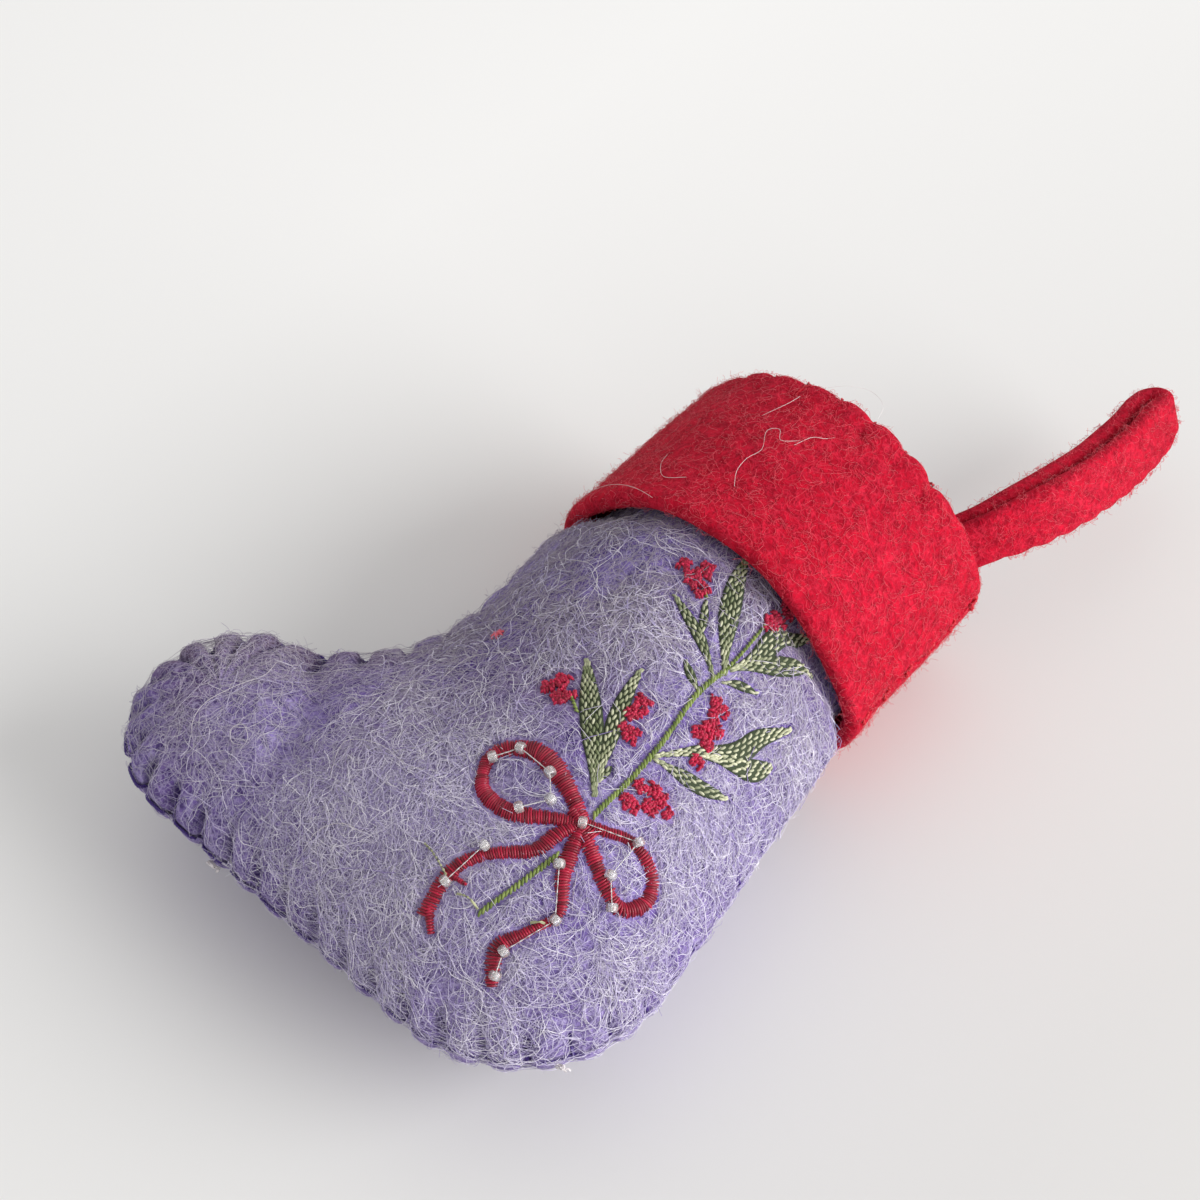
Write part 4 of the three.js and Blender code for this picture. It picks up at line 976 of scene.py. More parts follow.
def felt_fuzz_tree():
    recipe, given = new_tree("felt_fuzz", {
        "Skin": "Geometry", "Fibres": "Collection", "Sewn": "Object", "Fibres per Area": "Float",
        "Shortest": "Float", "Longest": "Float", "Loft": "Float", "Radius": "Float", "Seed": "Int",
        "Grain": "Vector", "Spread": "Float", "Kind Step": "Int", "Finish": "Material"})
    density = recipe.math("MULTIPLY", named(recipe, "fuzz", "FLOAT"), given["Fibres per Area"])
    sown = recipe.add("GeometryNodeDistributePointsOnFaces", {
        "Mesh": given["Skin"], "Density": density, "Seed": given["Seed"]}, distribute_method="RANDOM")
    kinds = recipe.add("GeometryNodeCollectionInfo", {
        "Collection": given["Fibres"], "Separate Children": True, "Reset Children": True})
    pick = recipe.add("FunctionNodeRandomValue", {4: 0, 5: 1000, "Seed": 1}, data_type="INT").outputs[2]
    kind = recipe.math("MULTIPLY", pick, given["Kind Step"])
    other_way = recipe.math("MULTIPLY", given["Spread"], -1.0)
    spin = recipe.add("FunctionNodeRandomValue", {
        2: other_way, 3: given["Spread"], "Seed": 2}, data_type="FLOAT").outputs[1]
    angles = recipe.add("ShaderNodeCombineXYZ", {"Z": spin})
    turn = recipe.add("FunctionNodeEulerToRotation", {0: angles.outputs[0]})
    combed = recipe.add("FunctionNodeAxesToRotation", {
        "Primary Axis": sown.outputs["Normal"], "Secondary Axis": given["Grain"]},
        primary_axis="Z", secondary_axis="X")
    stand = recipe.add("FunctionNodeRotateRotation", {
        "Rotation": combed.outputs[0], "Rotate By": turn.outputs[0]}, rotation_space="LOCAL")
    size = recipe.add("FunctionNodeRandomValue", {
        2: given["Shortest"], 3: given["Longest"], "Seed": 3}, data_type="FLOAT").outputs[1]
    shade = recipe.add("FunctionNodeRandomValue", {2: 0.0, 3: 1.0, "Seed": 4}, data_type="FLOAT").outputs[1]
    copies = recipe.add("GeometryNodeInstanceOnPoints", {
        "Points": sown.outputs["Points"], "Instance": kinds.outputs[0], "Pick Instance": True,
        "Instance Index": kind, "Rotation": stand.outputs[0], "Scale": size})
    tinted = recipe.add("GeometryNodeStoreNamedAttribute", {
        "Geometry": copies.outputs[0], "Name": "shade", "Value": shade}, data_type="FLOAT", domain="INSTANCE")
    real = recipe.add("GeometryNodeRealizeInstances", {"Geometry": tinted.outputs[0]})
    lines = recipe.add("GeometryNodeMeshToCurve", {"Mesh": real.outputs[0]})
    felt = recipe.add("GeometryNodeProximity", {"Geometry": given["Skin"]}, target_element="FACES")
    outward = recipe.add("GeometryNodeSampleNearestSurface", {
        "Mesh": given["Skin"]}, data_type="FLOAT_VECTOR")
    normal = recipe.add("GeometryNodeInputNormal")
    recipe.tree.links.new(normal.outputs[0], outward.inputs["Value"])
    marks = recipe.add("GeometryNodeObjectInfo", {"Object": given["Sewn"]}).outputs["Geometry"]
    gap = recipe.add("GeometryNodeProximity", {"Geometry": marks}, target_element="POINTS")
    clear = recipe.remap(gap.outputs["Distance"], PRESSED_NEAR * MM, PRESSED_FAR * MM)
    rise = recipe.math("MULTIPLY", named(recipe, "rise", "FLOAT"), given["Loft"])
    pressed = recipe.math("MULTIPLY", recipe.math("SUBTRACT", clear, 1.0), PRESSED_DEPTH * MM)
    height = recipe.math("ADD", recipe.math("MULTIPLY", rise, clear), pressed)
    lifted = recipe.add("ShaderNodeVectorMath", {0: outward.outputs[0]}, operation="SCALE")
    recipe.tree.links.new(height, lifted.inputs["Scale"])
    place = recipe.add("ShaderNodeVectorMath", {
        0: felt.outputs["Position"], 1: lifted.outputs[0]}, operation="ADD")
    laid = recipe.add("GeometryNodeSetPosition", {"Geometry": lines.outputs[0], "Position": place.outputs[0]})
    section = recipe.add("GeometryNodeCurvePrimitiveCircle", {"Resolution": 3, "Radius": given["Radius"]})
    fibres = recipe.add("GeometryNodeCurveToMesh", {
        "Curve": laid.outputs[0], "Profile Curve": section.outputs[0], "Fill Caps": True})
    return finish_tree(recipe, fibres.outputs[0], given["Finish"])


sewn_copies = sewn_copies_tree()
plied_thread = plied_thread_tree()
felt_fuzz = felt_fuzz_tree()


def grown(name, host, tree, **values):
    """Plain mesh that a tree makes on a host, which is dropped afterwards. Values go by the input's name."""
    modifier = host.modifiers.new(tree.name, "NODES")
    modifier.node_group = tree
    for socket in tree.interface.items_tree:
        label = socket.name.lower().replace(" ", "_")
        if socket.in_out == "INPUT" and label in values:
            modifier[socket.identifier] = values[label]
    depsgraph = bpy.context.evaluated_depsgraph_get()
    mesh = bpy.data.meshes.new_from_object(host.evaluated_get(depsgraph), depsgraph=depsgraph)
    mesh.name = name
    bpy.data.objects.remove(host)
    return linked(name, mesh)


def host_mesh(points, edges=(), faces=(), **attributes):
    """Bare host for a tree, with values kept at its points."""
    mesh = bpy.data.meshes.new("host")
    mesh.from_pydata(to_frame(points).tolist(), [tuple(map(int, e)) for e in edges],
                     [tuple(map(int, f)) for f in faces])
    for label, values in attributes.items():
        values = np.asarray(values, np.float32)
        kind, field = ("FLOAT", "value") if values.ndim == 1 else ("FLOAT_VECTOR", "vector")
        mesh.attributes.new(label, kind, "POINT").data.foreach_set(field, values.ravel())
    return linked("host", mesh)


def spun(name, paths, radius, pitch, material):
    """Plied thread along several open paths, in pattern millimetres."""
    points = np.concatenate(paths)
    edges, start = [], 0
    for path in paths:
        edges += [(start + i, start + i + 1) for i in range(len(path) - 1)]
        start += len(path)
    return grown(name, host_mesh(points, edges), plied_thread,
                 radius=radius * MM, pitch=pitch * MM, plies=3, finish=material)


print("trees:", sewn_copies.name, plied_thread.name, felt_fuzz.name)

# %% [markdown]
# ## Thread, glass and fibre finishes
# Embroidery thread is shiny and each stitch catches the light a little differently, so its colour moves
# with a number kept on every stitch. Glass beads and nylon are clear, and wool fibres are pale.

# %% Thread, glass and fibre finishes
def thread_material(name, dark, light, roughness, sheen=0.2, worn_shade_tint=None):
    material, recipe, shader = new_material(name)
    shade = recipe.add("ShaderNodeAttribute", attribute_name="shade").outputs["Fac"]
    colour = recipe.mix(shade, dark, light)
    # Fibres greyer toward the toe and instep: worn wool, and painted shade on the side away from the window.
    if worn_shade_tint:
        place = recipe.add("ShaderNodeTexCoord").outputs["Object"]
        colour = recipe.mix(recipe.math("MULTIPLY", wear_and_shade(recipe, place, 0.0), 0.6), colour, worn_shade_tint)
    recipe.tree.links.new(colour, shader.inputs["Base Color"])
    shader.inputs["Roughness"].default_value = roughness
    shader.inputs["Specular IOR Level"].default_value = 0.35
    shader.inputs["Sheen Weight"].default_value = sheen
    shader.inputs["Sheen Roughness"].default_value = 0.4
    return material


def clear_material(name, roughness, share):
    material, recipe, shader = new_material(name)
    shader.inputs["Base Color"].default_value = (0.96, 0.95, 0.95, 1)
    shader.inputs["Roughness"].default_value = roughness
    shader.inputs["IOR"].default_value = 1.5
    shader.inputs["Transmission Weight"].default_value = share
    return material


purple_thread = thread_material("purple_thread", srgb(70, 46, 126), srgb(98, 70, 158), 0.55)
red_thread = thread_material("red_thread", srgb(200, 16, 42), srgb(214, 30, 52), 0.5)
pink_thread = thread_material("pink_thread", srgb(226, 104, 120), srgb(240, 170, 182), 0.45)
red_satin = thread_material("red_satin", srgb(110, 6, 32), srgb(174, 20, 56), 0.34)
leaf_thread = thread_material("leaf_thread", srgb(108, 118, 82), srgb(208, 208, 178), 0.45)
leaf_shadow = thread_material("leaf_shadow", srgb(52, 62, 40), srgb(70, 84, 48), 0.8)
stem_thread = thread_material("stem_thread", srgb(90, 108, 44), srgb(138, 154, 82), 0.45)
loose_thread = thread_material("loose_thread", srgb(176, 178, 140), srgb(196, 200, 164), 0.5)
berry_thread = thread_material("berry_thread", srgb(134, 8, 42), srgb(200, 30, 74), 0.42)
bead_glass = clear_material("bead_glass", 0.05, 0.78)
clear_thread = clear_material("clear_thread", 0.2, 0.4)
# Its last colour is the greyer tint of worn wool and painted shade toward the toe.
lavender_fibre = thread_material(
    "lavender_fibre", srgb(144, 122, 192), srgb(250, 246, 254), 0.6, 0.4, srgb(160, 146, 158))
tuft_fibre = thread_material("tuft_fibre", srgb(176, 162, 212), srgb(250, 246, 254), 0.6, 0.4)
red_fibre = thread_material("red_fibre", srgb(200, 20, 48), srgb(230, 74, 94), 0.6, 0.3)
white_fibre = thread_material("white_fibre", srgb(220, 214, 216), srgb(244, 240, 240), 0.5, 0.4)

# %% [markdown]
# ## Stitches along the edges
# The two panels are joined with blanket stitch: a thread over the edge at each dimple, and a thread that
# runs along the edge from one to the next. The cuff is whipped to the rim, its ends are closed at the
# heel side, and a pale tack holds the strap. All are plied threads on paths read off the felt.

# %% Edge stitches
THREAD_RADIUS = 0.32
THREAD_PITCH = 1.5
RIM_THREAD_RADIUS = 0.26
SEAM_THREAD_RADIUS = 0.34
TACK_THREAD_RADIUS = 0.22
TACK_THREAD_PITCH = 1.0

front_normals = grid_normals(front_skin, UP)
back_normals = grid_normals(back_skin, -UP)
end_runs = {end: run_of(panel_rungs[end]) for end in ("front", "back")}


def over_edge(run):
    """Path of one blanket stitch, from its bite in the front felt round the edge to its bite behind."""
    end = min(end_runs, key=lambda e: np.abs(end_runs[e] - run).min())
    row = np.abs(end_runs[end] - run).argmin()
    order = np.arange(COLUMNS + 1) if end == "front" else -1 - np.arange(COLUMNS + 1)
    used = order[run_along(front_skin[row, order]) < np.interp(run, edge_middles, BITES)]
    tight = np.interp(run, edge_middles, TIGHTNESS)
    lift = np.full((len(used), 1), THREAD_RADIUS * (tight - 0.25))
    lift[-1] = -1.2
    front = front_skin[row, used] + front_normals[row, used] * lift
    behind = back_skin[row, used] + back_normals[row, used] * lift
    return np.concatenate([front[::-1], behind])


def along_edge():
    """Path of the thread that runs along the seam, from the front of the leg round to its back."""
    sides = []
    for end, column in (("front", 0), ("back", -1)):
        stitched = end_runs[end] > 0
        seam = (front_skin[:, column] + back_skin[:, column]) / 2
        outward = -half_ribs(panel_rungs, end)[0]
        stand = 0.75 * np.interp(end_runs[end][stitched], edge_middles, TIGHTNESS) - 0.45
        path = seam[stitched] + stand[:, None] * np.pad(outward[stitched], ((0, 0), (0, 1)))
        sides.append(path if end == "front" else path[::-1])
    return np.concatenate(sides)


edge_threads = spun(
    "edge_threads", [along_edge(), *(over_edge(run) for run in stitch_runs)],
    THREAD_RADIUS, THREAD_PITCH, purple_thread)


def over_rim(turn, tight=1.0):
    """Path of one whip stitch, from the outside of the cuff over the rim into the panel."""
    low, top = STOCKING_HEIGHT - RIM_BITE, STOCKING_HEIGHT + RIM_SCALLOP * (0.4 - tight)
    outer = CUFF_FELT - 0.5 * RIM_DIMPLE * tight
    inner = -CUFF_GAP - FELT - 0.25
    heights = [low, low + 0.4, low + 1.5, top - 1.2, top - 0.3, top, top + 0.2, STOCKING_HEIGHT + 0.3,
               STOCKING_HEIGHT - 0.7, STOCKING_HEIGHT - 2.6, STOCKING_HEIGHT - 3.0]
    offs = [outer - 1.4, outer - 0.3, outer - 0.2, outer - 0.2, outer - 0.4, outer - 1.0, 0.4, inner + 0.9,
            inner, inner, inner + 1.2]
    slant = 0.03 * np.linspace(-1, 1, len(heights))
    return cuff_place(turn + slant, np.array(heights), np.array(offs))


rim_paths = [over_rim(turn, tight) for turn, tight in zip(RIM_TURNS, rim_tightness)]
rim_threads = spun("rim_threads", rim_paths, RIM_THREAD_RADIUS, THREAD_PITCH, red_thread)

CUFF_SEAM_STITCHES = 6
SEAM_TURN = 0.1


def over_cuff_seam(y):
    """Path of one stitch across the seam that closes the cuff."""
    turn = np.linspace(-SEAM_TURN, SEAM_TURN, 11)
    off = CUFF_FELT + 0.15 - 0.8 * CUFF_GROOVE * seam_groove(turn)
    off[[0, -1]] -= 1.4
    return cuff_place(turn, y + np.linspace(-0.5, 0.5, 11), off)


seam_length = CUFF_HEIGHT - HEM_TRIM
seam_heights = STOCKING_HEIGHT - seam_length * (np.arange(CUFF_SEAM_STITCHES) + 0.5) / CUFF_SEAM_STITCHES
seam_paths = [over_cuff_seam(y) for y in seam_heights]
cuff_seam_threads = spun("cuff_seam_threads", seam_paths, SEAM_THREAD_RADIUS, THREAD_PITCH, red_thread)

TACK_TURNS = np.radians((10, 22, 34))
tack_paths = [over_rim(turn) for turn in TACK_TURNS]
tack_threads = spun("tack_threads", tack_paths, TACK_THREAD_RADIUS, TACK_THREAD_PITCH, pink_thread)
print("edge, rim, seam and tack threads:",
      [len(p.data.polygons) for p in (edge_threads, rim_threads, cuff_seam_threads, tack_threads)])

# %% [markdown]
# ## Embroidery
# A machine sewed the sprig on the flat panel before it was stuffed: satin stitch for the bow, rows of
# short stitches for the leaves, a slanted rope for the stem and little squares for the berries. Each line
# of the design is dropped on the swollen felt, and stations along it carry one small arched stitch each.

# %% Embroidery
SATIN_SPACING = 0.36
BAND_FULLNESS = 1.1
KNOT_PITCH = 0.5
ROW_GAP = 0.58
ROW_PITCH = 1.35
LEAF_STEP = 0.1
STEM_PITCH = 0.62
SATIN_THREAD_RADIUS = 0.21
LEAF_THREAD_RADIUS = 0.19
BERRY_THREAD_RADIUS = 0.2
ABOVE_FELT = 90.0
chance = np.random.default_rng(7)
front_bvh = BVHTree.FromPolygons(
    front_skin.reshape(-1, 3).tolist(), grid_faces(*front_skin.shape[:2]).tolist())


def unit(vectors):
    return vectors / np.maximum(np.linalg.norm(vectors, axis=-1, keepdims=True), 1e-9)


def lay(flat):
    """Flat points of the design dropped on the front of the boot, with the felt's normals there."""
    hits = [front_bvh.ray_cast(Vector((x, y, ABOVE_FELT)), Vector(-UP))[:2] for x, y in flat]
    spots = np.array([hit[0] for hit in hits])
    normals = np.array([hit[1] for hit in hits])
    return spots, unit(normals * np.sign(normals[:, 2:]))


def even_line(points, spacing):
    """Evenly spaced points on a smooth line through the given ones."""
    points = np.array(points, float)
    t = np.linspace(0, len(points) - 1, 80 * (len(points) - 1))
    fine = np.stack([through(points[:, k], t) for k in range(points.shape[1])], axis=1)
    run = run_along(fine)
    marks = np.linspace(0, run[-1], max(2, round(run[-1] / spacing) + 1))
    return np.stack([np.interp(marks, run, fine[:, k]) for k in range(points.shape[1])], axis=1)


def stations(flat, heading, half_length, height, shade):
    """Stitches centred on flat points and lying along headings of the flat design."""
    spots, normals = lay(flat)
    along = np.pad(unit(heading), ((0, 0), (0, 1)))
    along = unit(along - (along * normals).sum(1, keepdims=True) * normals)
    half_length = np.broadcast_to(half_length, len(flat))[:, None]
    height = np.broadcast_to(height, len(flat))[:, None]
    return {"points": spots, "up": normals * height * MM, "across": along * half_length * MM,
            "shade": np.clip(np.broadcast_to(shade, len(flat)), 0, 1)}


def gather(parts):
    return {key: np.concatenate([part[key] for part in parts]) for key in parts[0]}


def turned(vectors, angle):
    cosine, sine = np.cos(angle), np.sin(angle)
    x, y = vectors[:, 0], vectors[:, 1]
    return np.stack([x * cosine - y * sine, x * sine + y * cosine], axis=1)


def satin(line, widths, height=0.85, slant=0.12):
    """Threads side by side across a line, whose width goes smoothly through the given widths."""
    flat = even_line(line, SATIN_SPACING)
    count = len(flat)
    width = BAND_FULLNESS * np.interp(np.linspace(0, 1, count), np.linspace(0, 1, len(widths)), widths)
    heading = turned(np.gradient(flat, axis=0), np.pi / 2 + slant + chance.normal(0, 0.05, count))
    half = width / 2 * (1 + chance.normal(0, 0.07, count))
    return stations(flat, heading, half, height, chance.uniform(0, 1, count))


def leaf_width(width, t):
    """Narrow where the leaf leaves its stem, full past the middle, and rounded to the tip."""
    tip = np.clip((t - 0.55) / 0.45, 0, 1)
    return width * (0.24 + 0.76 * ease(t, 0.02, 0.5)) * (1 - 0.82 * tip**1.8)


def leaf_rows(line, width, paleness):
    """Short stitches in rows along a leaf, set like bricks."""
    flat = even_line(line, LEAF_STEP)
    heading = np.gradient(flat, axis=0)
    side = turned(unit(heading), np.pi / 2)
    length = LEAF_STEP * (len(flat) - 1)
    rows = max(2, round(width / ROW_GAP))
    parts = []
    for row in range(rows):
        places = np.arange(0.3 + 0.5 * ROW_PITCH * (row % 2), length, ROW_PITCH)
        index = np.clip(np.round(places / LEAF_STEP).astype(int), 0, len(flat) - 1)
        share = (2 * row + 1) / rows - 1
        off = share * leaf_width(width, index / (len(flat) - 1)) / 2 * 0.86
        tilt = (0.22 if row % 2 else -0.22) + chance.normal(0, 0.08, len(index))
        parts.append(stations(
            flat[index] + side[index] * off[:, None], turned(heading[index], tilt), 0.5 * ROW_PITCH, 0.5,
            paleness + chance.normal(0, 0.2, len(index))))
    return gather(parts)


def rope(line, half_length, spacing):
    """Slanted stitches one after the other along a line."""
    flat = even_line(line, spacing)
    heading = turned(np.gradient(flat, axis=0), 0.7 + chance.normal(0, 0.1, len(flat)))
    return stations(flat, heading, half_length, 0.6, chance.uniform(0, 1, len(flat)))


def berry(place, size):
    """Little square packed with short stitches that lie this way and that."""
    count = max(9, round(3.2 * (size / KNOT_PITCH) ** 2))
    angle = math.radians(chance.choice((10, 40, 70)))
    flat = np.array(place) + turned(chance.uniform(-0.47, 0.47, (count, 2)) * size, angle)
    heading = turned(np.tile([1.0, 0.0], (count, 1)), angle + chance.choice((0, np.pi / 2), count))
    half = chance.uniform(0.35, 0.6, count)
    return stations(flat, heading, half, chance.uniform(0.5, 0.85, count), chance.uniform(0, 1, count))


def stitch_template():
    """One stitch along x from -1 to 1: a round thread that rises from the felt, bows over and dips again."""
    stops, sides = 8, 6
    x = np.linspace(-1, 1, stops)[:, None]
    around = np.linspace(0, 2 * np.pi, sides, endpoint=False)[None, :]
    fat = np.sqrt(1.12 - x**2)
    points = np.stack(np.broadcast_arrays(
        x, fat * np.cos(around), (1 - x**2) ** 0.6 - 0.55 + 0.45 * fat * np.sin(around)), axis=-1)
    faces = [*grid_faces(stops, sides, ring_columns=True).tolist(), tuple(range(sides)),
             tuple(range((stops - 1) * sides, stops * sides))]
    return template("stitch", points, faces)


stitch = stitch_template()


def sewn(name, places, motif, thread, material):
    """Copies of a stitch or a bead at the given stations."""
    places = dict(places)
    host = host_mesh(places.pop("points"), **places)
    return grown(name, host, sewn_copies, stitch=motif, thread=thread * MM, finish=material)


KNOT = (15.8, 32.0)
BOW = {
    "bow_loop_left": ([(15.6, 32.6), (13.2, 33.7), (10, 35.1), (4.5, 36.4), (0, 34.5), (-1, 31.5),
                       (1.6, 27.6), (7, 27.2), (13.3, 30.6), (15.4, 31.6)],
                      (2.2, 2.8, 3.5, 3.2, 2.5, 2.1, 2.6, 2.7, 2.3, 2.1)),
    "bow_loop_right": ([(16.2, 32.6), (18.6, 33.6), (22, 35.5), (26.2, 34.6), (28, 31.2), (26.5, 27.6),
                        (23, 28.2), (18.2, 30.6), (16.2, 31.4)],
                       (1.8, 1.9, 2.0, 2.3, 2.7, 2.5, 2.3, 2.5, 2.3)),
    "bow_tail_left": ([(15.2, 31.0), (14.2, 28.6), (13.0, 24.7), (8, 20.2), (5.8, 15.6), (6.4, 9.8)],
                      (2.0, 2.5, 2.0, 2.0, 2.5, 2.8)),
    "bow_tail_right": ([(16.2, 31.2), (17, 28.6), (18.5, 24.8), (21, 21.2), (19.3, 16.6), (17.3, 12.4),
                        (19.4, 8.8)], (2.0, 2.6, 2.3, 1.3, 1.6, 2.8, 2.0)),
}
TAIL_EXTRAS = [([(6.2, 10.8), (8.6, 8.6)], (1.6, 1.3)), ([(6.0, 15.6), (8.8, 15.8)], (1.1, 0.6))]
STEMS = [(0.8, [(16.2, 34.2), (16.0, 47.0), (14.7, 58.6), (15.1, 64.8)]),
         (0.5, [(15.1, 64.8), (14.8, 69.8), (14.5, 74.2)]),
         (0.8, [(16.1, 26.4), (14.6, 20.4), (12.7, 14.2)]),
         (0.45, [(2.2, 45.9), (4.2, 44.6)]), (0.4, [(6.4, 70.9), (5.6, 71.4)])]
LEAVES = [
    (3.3, 0.25, [(14.4, 36.4), (11.5, 39.7), (7.2, 44.4), (3.6, 48.1), (-0.1, 52.0)]),
    (2.5, 0.35, [(13.2, 38.4), (11.1, 43.2), (9.3, 47.1), (8.1, 50.8), (7.1, 55.4)]),
    (1.4, 0.4, [(14.8, 58.9), (12.7, 59.8), (10.4, 61.0)]),
    (1.8, 0.35, [(14.9, 62.2), (11.0, 64.6), (7.5, 66.2), (3.0, 67.9)]),
    (1.3, 0.4, [(9.9, 65.1), (8.5, 67.7), (6.6, 70.5)]),
    (3.1, 0.35, [(15.3, 64.1), (12.4, 68.0), (9.5, 72.8), (7.6, 76.9), (6.4, 80.3)]),
    (2.6, 0.5, [(15.5, 65.4), (16.5, 70.2), (16.6, 75.5), (18.1, 81.0)]),
    (2.6, 0.5, [(15.5, 65.4), (17.5, 69.8), (19.3, 72.7), (21.6, 77.4)]),
    (1.3, 0.6, [(15.8, 62.9), (17.5, 64.7), (19.7, 66.3)]),
    (2.4, 0.7, [(16.4, 47.2), (19.4, 52.1), (21.5, 54.8), (23.0, 58.2), (23.4, 62.8), (24.9, 67.8)]),
    (2.7, 0.9, [(20.6, 53.0), (23.6, 56.3), (25.1, 57.8), (26.2, 61.9)]),
    (2.2, 0.5, [(16.6, 46.8), (19.8, 48.0), (22.9, 49.3), (25.8, 51.8)]),
]
LEAF_TWIG = (1.0, 0.4, [(13.5, 38.5), (13.2, 41.5)])
BERRIES = {
    "berries_left": [(-2.0, 45.7, 1.9), (-0.8, 47.4, 2.2), (0.8, 45.1, 2.3), (2.0, 46.4, 1.0)],
    "berries_stem": [(10.5, 51.5, 2.3), (10.3, 49.5, 2.0), (12.3, 47.0, 2.3), (10.8, 47.2, 1.3)],
    "berries_top_left": [(0.7, 72.9, 1.8), (3.7, 74.1, 2.4), (4.9, 71.3, 2.4), (3.0, 72.0, 2.3)],
    "berries_tip": [(14.7, 75.4, 2.1), (14.7, 77.5, 1.9), (14.5, 79.8, 1.6)],
    "berry_high": [(17.0, 60.1, 1.6), (18.1, 59.8, 1.9), (17.8, 58.2, 1.2)],
    "berry_middle": [(18.2, 54.7, 1.8), (19.2, 56.8, 2.5), (19.7, 54.4, 1.9)],
    "berry_low": [(20.5, 51.4, 1.6)],
    "berries_right": [(17.7, 42.4, 1.7), (18.6, 39.3, 2.1), (17.4, 39.4, 1.2), (19.2, 43.4, 1.8),
                      (20.7, 43.3, 1.8), (20.4, 41.2, 2.0), (22.2, 42.7, 1.4)],
}

bow_places = {name: satin(line, widths) for name, (line, widths) in BOW.items()}
bow_places["bow_tail_left"] = gather([bow_places["bow_tail_left"], *(satin(*extra) for extra in TAIL_EXTRAS)])
knot_line = [(KNOT[0] - 2.2, KNOT[1] + 0.6), (KNOT[0] + 2.2, KNOT[1] - 0.4)]
bow_places["bow_knot"] = satin(knot_line, (2.2, 2.4), 0.9)
bow_pieces = {
    name: sewn(name + "_satin", places, stitch, SATIN_THREAD_RADIUS, red_satin)
    for name, places in bow_places.items()}
stem_places = gather([rope(line, reach, STEM_PITCH) for reach, line in STEMS])
stem_stitches = sewn("stem_stitches", stem_places, stitch, SATIN_THREAD_RADIUS, stem_thread)
leaf_lines = [*LEAVES, LEAF_TWIG]
leaf_places = gather([leaf_rows(line, width, pale) for width, pale, line in leaf_lines])
leaf_stitches = sewn("leaf_stitches", leaf_places, stitch, LEAF_THREAD_RADIUS, leaf_thread)
berry_places = gather([berry((x, y), size) for cluster in BERRIES.values() for x, y, size in cluster])
berry_stitches = sewn("berry_stitches", berry_places, stitch, BERRY_THREAD_RADIUS, berry_thread)
print("stitches: bow", sum(len(p["points"]) for p in bow_places.values()), "stem", len(stem_places["points"]),
      "leaf", len(leaf_places["points"]), "berry", len(berry_places["points"]))


def leaf_shadow_band_points(line, width):
    """Dark sheet under a leaf's rows, painted shade for the gaps between its stitches: a thin flat band on
    the felt.
    """
    flat = even_line(line, 0.5)
    side = turned(unit(np.gradient(flat, axis=0)), np.pi / 2)
    half = leaf_width(width, np.linspace(0, 1, len(flat))) / 2
    spots, normals = zip(*(lay(flat + side * (half * share)[:, None]) for share in (-1, -0.5, 0, 0.5, 1)))
    top = np.stack(spots, axis=1) + np.stack(normals, axis=1) * 0.16
    under = np.stack(spots, axis=1) - np.stack(normals, axis=1) * 0.3
    return np.concatenate([top, under[:, ::-1]], axis=1)


# Dark flat bands under the leaves: painted shade for the gaps between the leaf stitches.
shadow_band_points, shadow_band_faces, shadow_band_start = [], [], 0
for width, pale, line in leaf_lines:
    band = leaf_shadow_band_points(line, width)
    rows, columns = band.shape[:2]
    faces = grid_faces(rows, columns, ring_columns=True) + shadow_band_start
    shadow_band_faces += faces.tolist()
    for row in (0, rows - 1):
        shadow_band_faces.append(tuple(range(shadow_band_start + row * columns, shadow_band_start + (row + 1) * columns)))
    shadow_band_points.append(band.reshape(-1, 3))
    shadow_band_start += rows * columns
leaf_ground = plain_mesh("leaf_ground", np.concatenate(shadow_band_points), shadow_band_faces, leaf_shadow)

# %% [markdown]
# ## Beads
# Clear glass seed beads lie along the bow, on a nylon thread that jumps straight from one to the next. A
# bead is a round section turned about its bore, set on the satin with the bore along the thread.

# %% Beads
BEAD_RADIUS = 0.9
BEAD_BORE = 0.36
BEAD_LENGTH = 1.3
BEAD_LIFT = 1.0
BEAD_SIDES = 14
BEAD_RING = 10
NYLON_RADIUS = 0.1
NYLON_PITCH = 3.0
BEAD_STRINGS = [
    [(-0.3, 32.1), (2.1, 35.3), (7.9, 34.7), (10.6, 31.6), (7.9, 28.2)],
    [(15.8, 32), (22.4, 35.7), (22.8, 29.4), (25.4, 26.6)],
    [(17.1, 25.6), (21, 20), (18.2, 12.8), (19.1, 10)],
    [(7.6, 21.2), (6.4, 14.6)],
]


def bead_template():
    """Ring about the x axis, half a length of 1 and an outer radius of 1."""
    around = np.linspace(0, 2 * np.pi, BEAD_SIDES, endpoint=False)[:, None]
    turn = np.linspace(0, 2 * np.pi, BEAD_RING, endpoint=False)[None, :]
    bore = BEAD_BORE / BEAD_RADIUS
    radius = (1 + bore) / 2 + (1 - bore) / 2 * np.cos(turn)
    points = np.stack(np.broadcast_arrays(
        np.sin(turn), radius * np.cos(around), radius * np.sin(around)), axis=-1)
    return template("bead", points, grid_faces(BEAD_SIDES, BEAD_RING, True, True).tolist())


def bead_string(string):
    flat = np.array(string, float)
    places = stations(flat, np.gradient(flat, axis=0), BEAD_LENGTH / 2, BEAD_RADIUS, 1.0)
    places["points"] = places["points"] + unit(places["up"]) * BEAD_LIFT
    return places


bead_places = [bead_string(string) for string in BEAD_STRINGS]
bead = bead_template()
glass_beads = sewn("glass_beads", gather(bead_places), bead, BEAD_RADIUS, bead_glass)


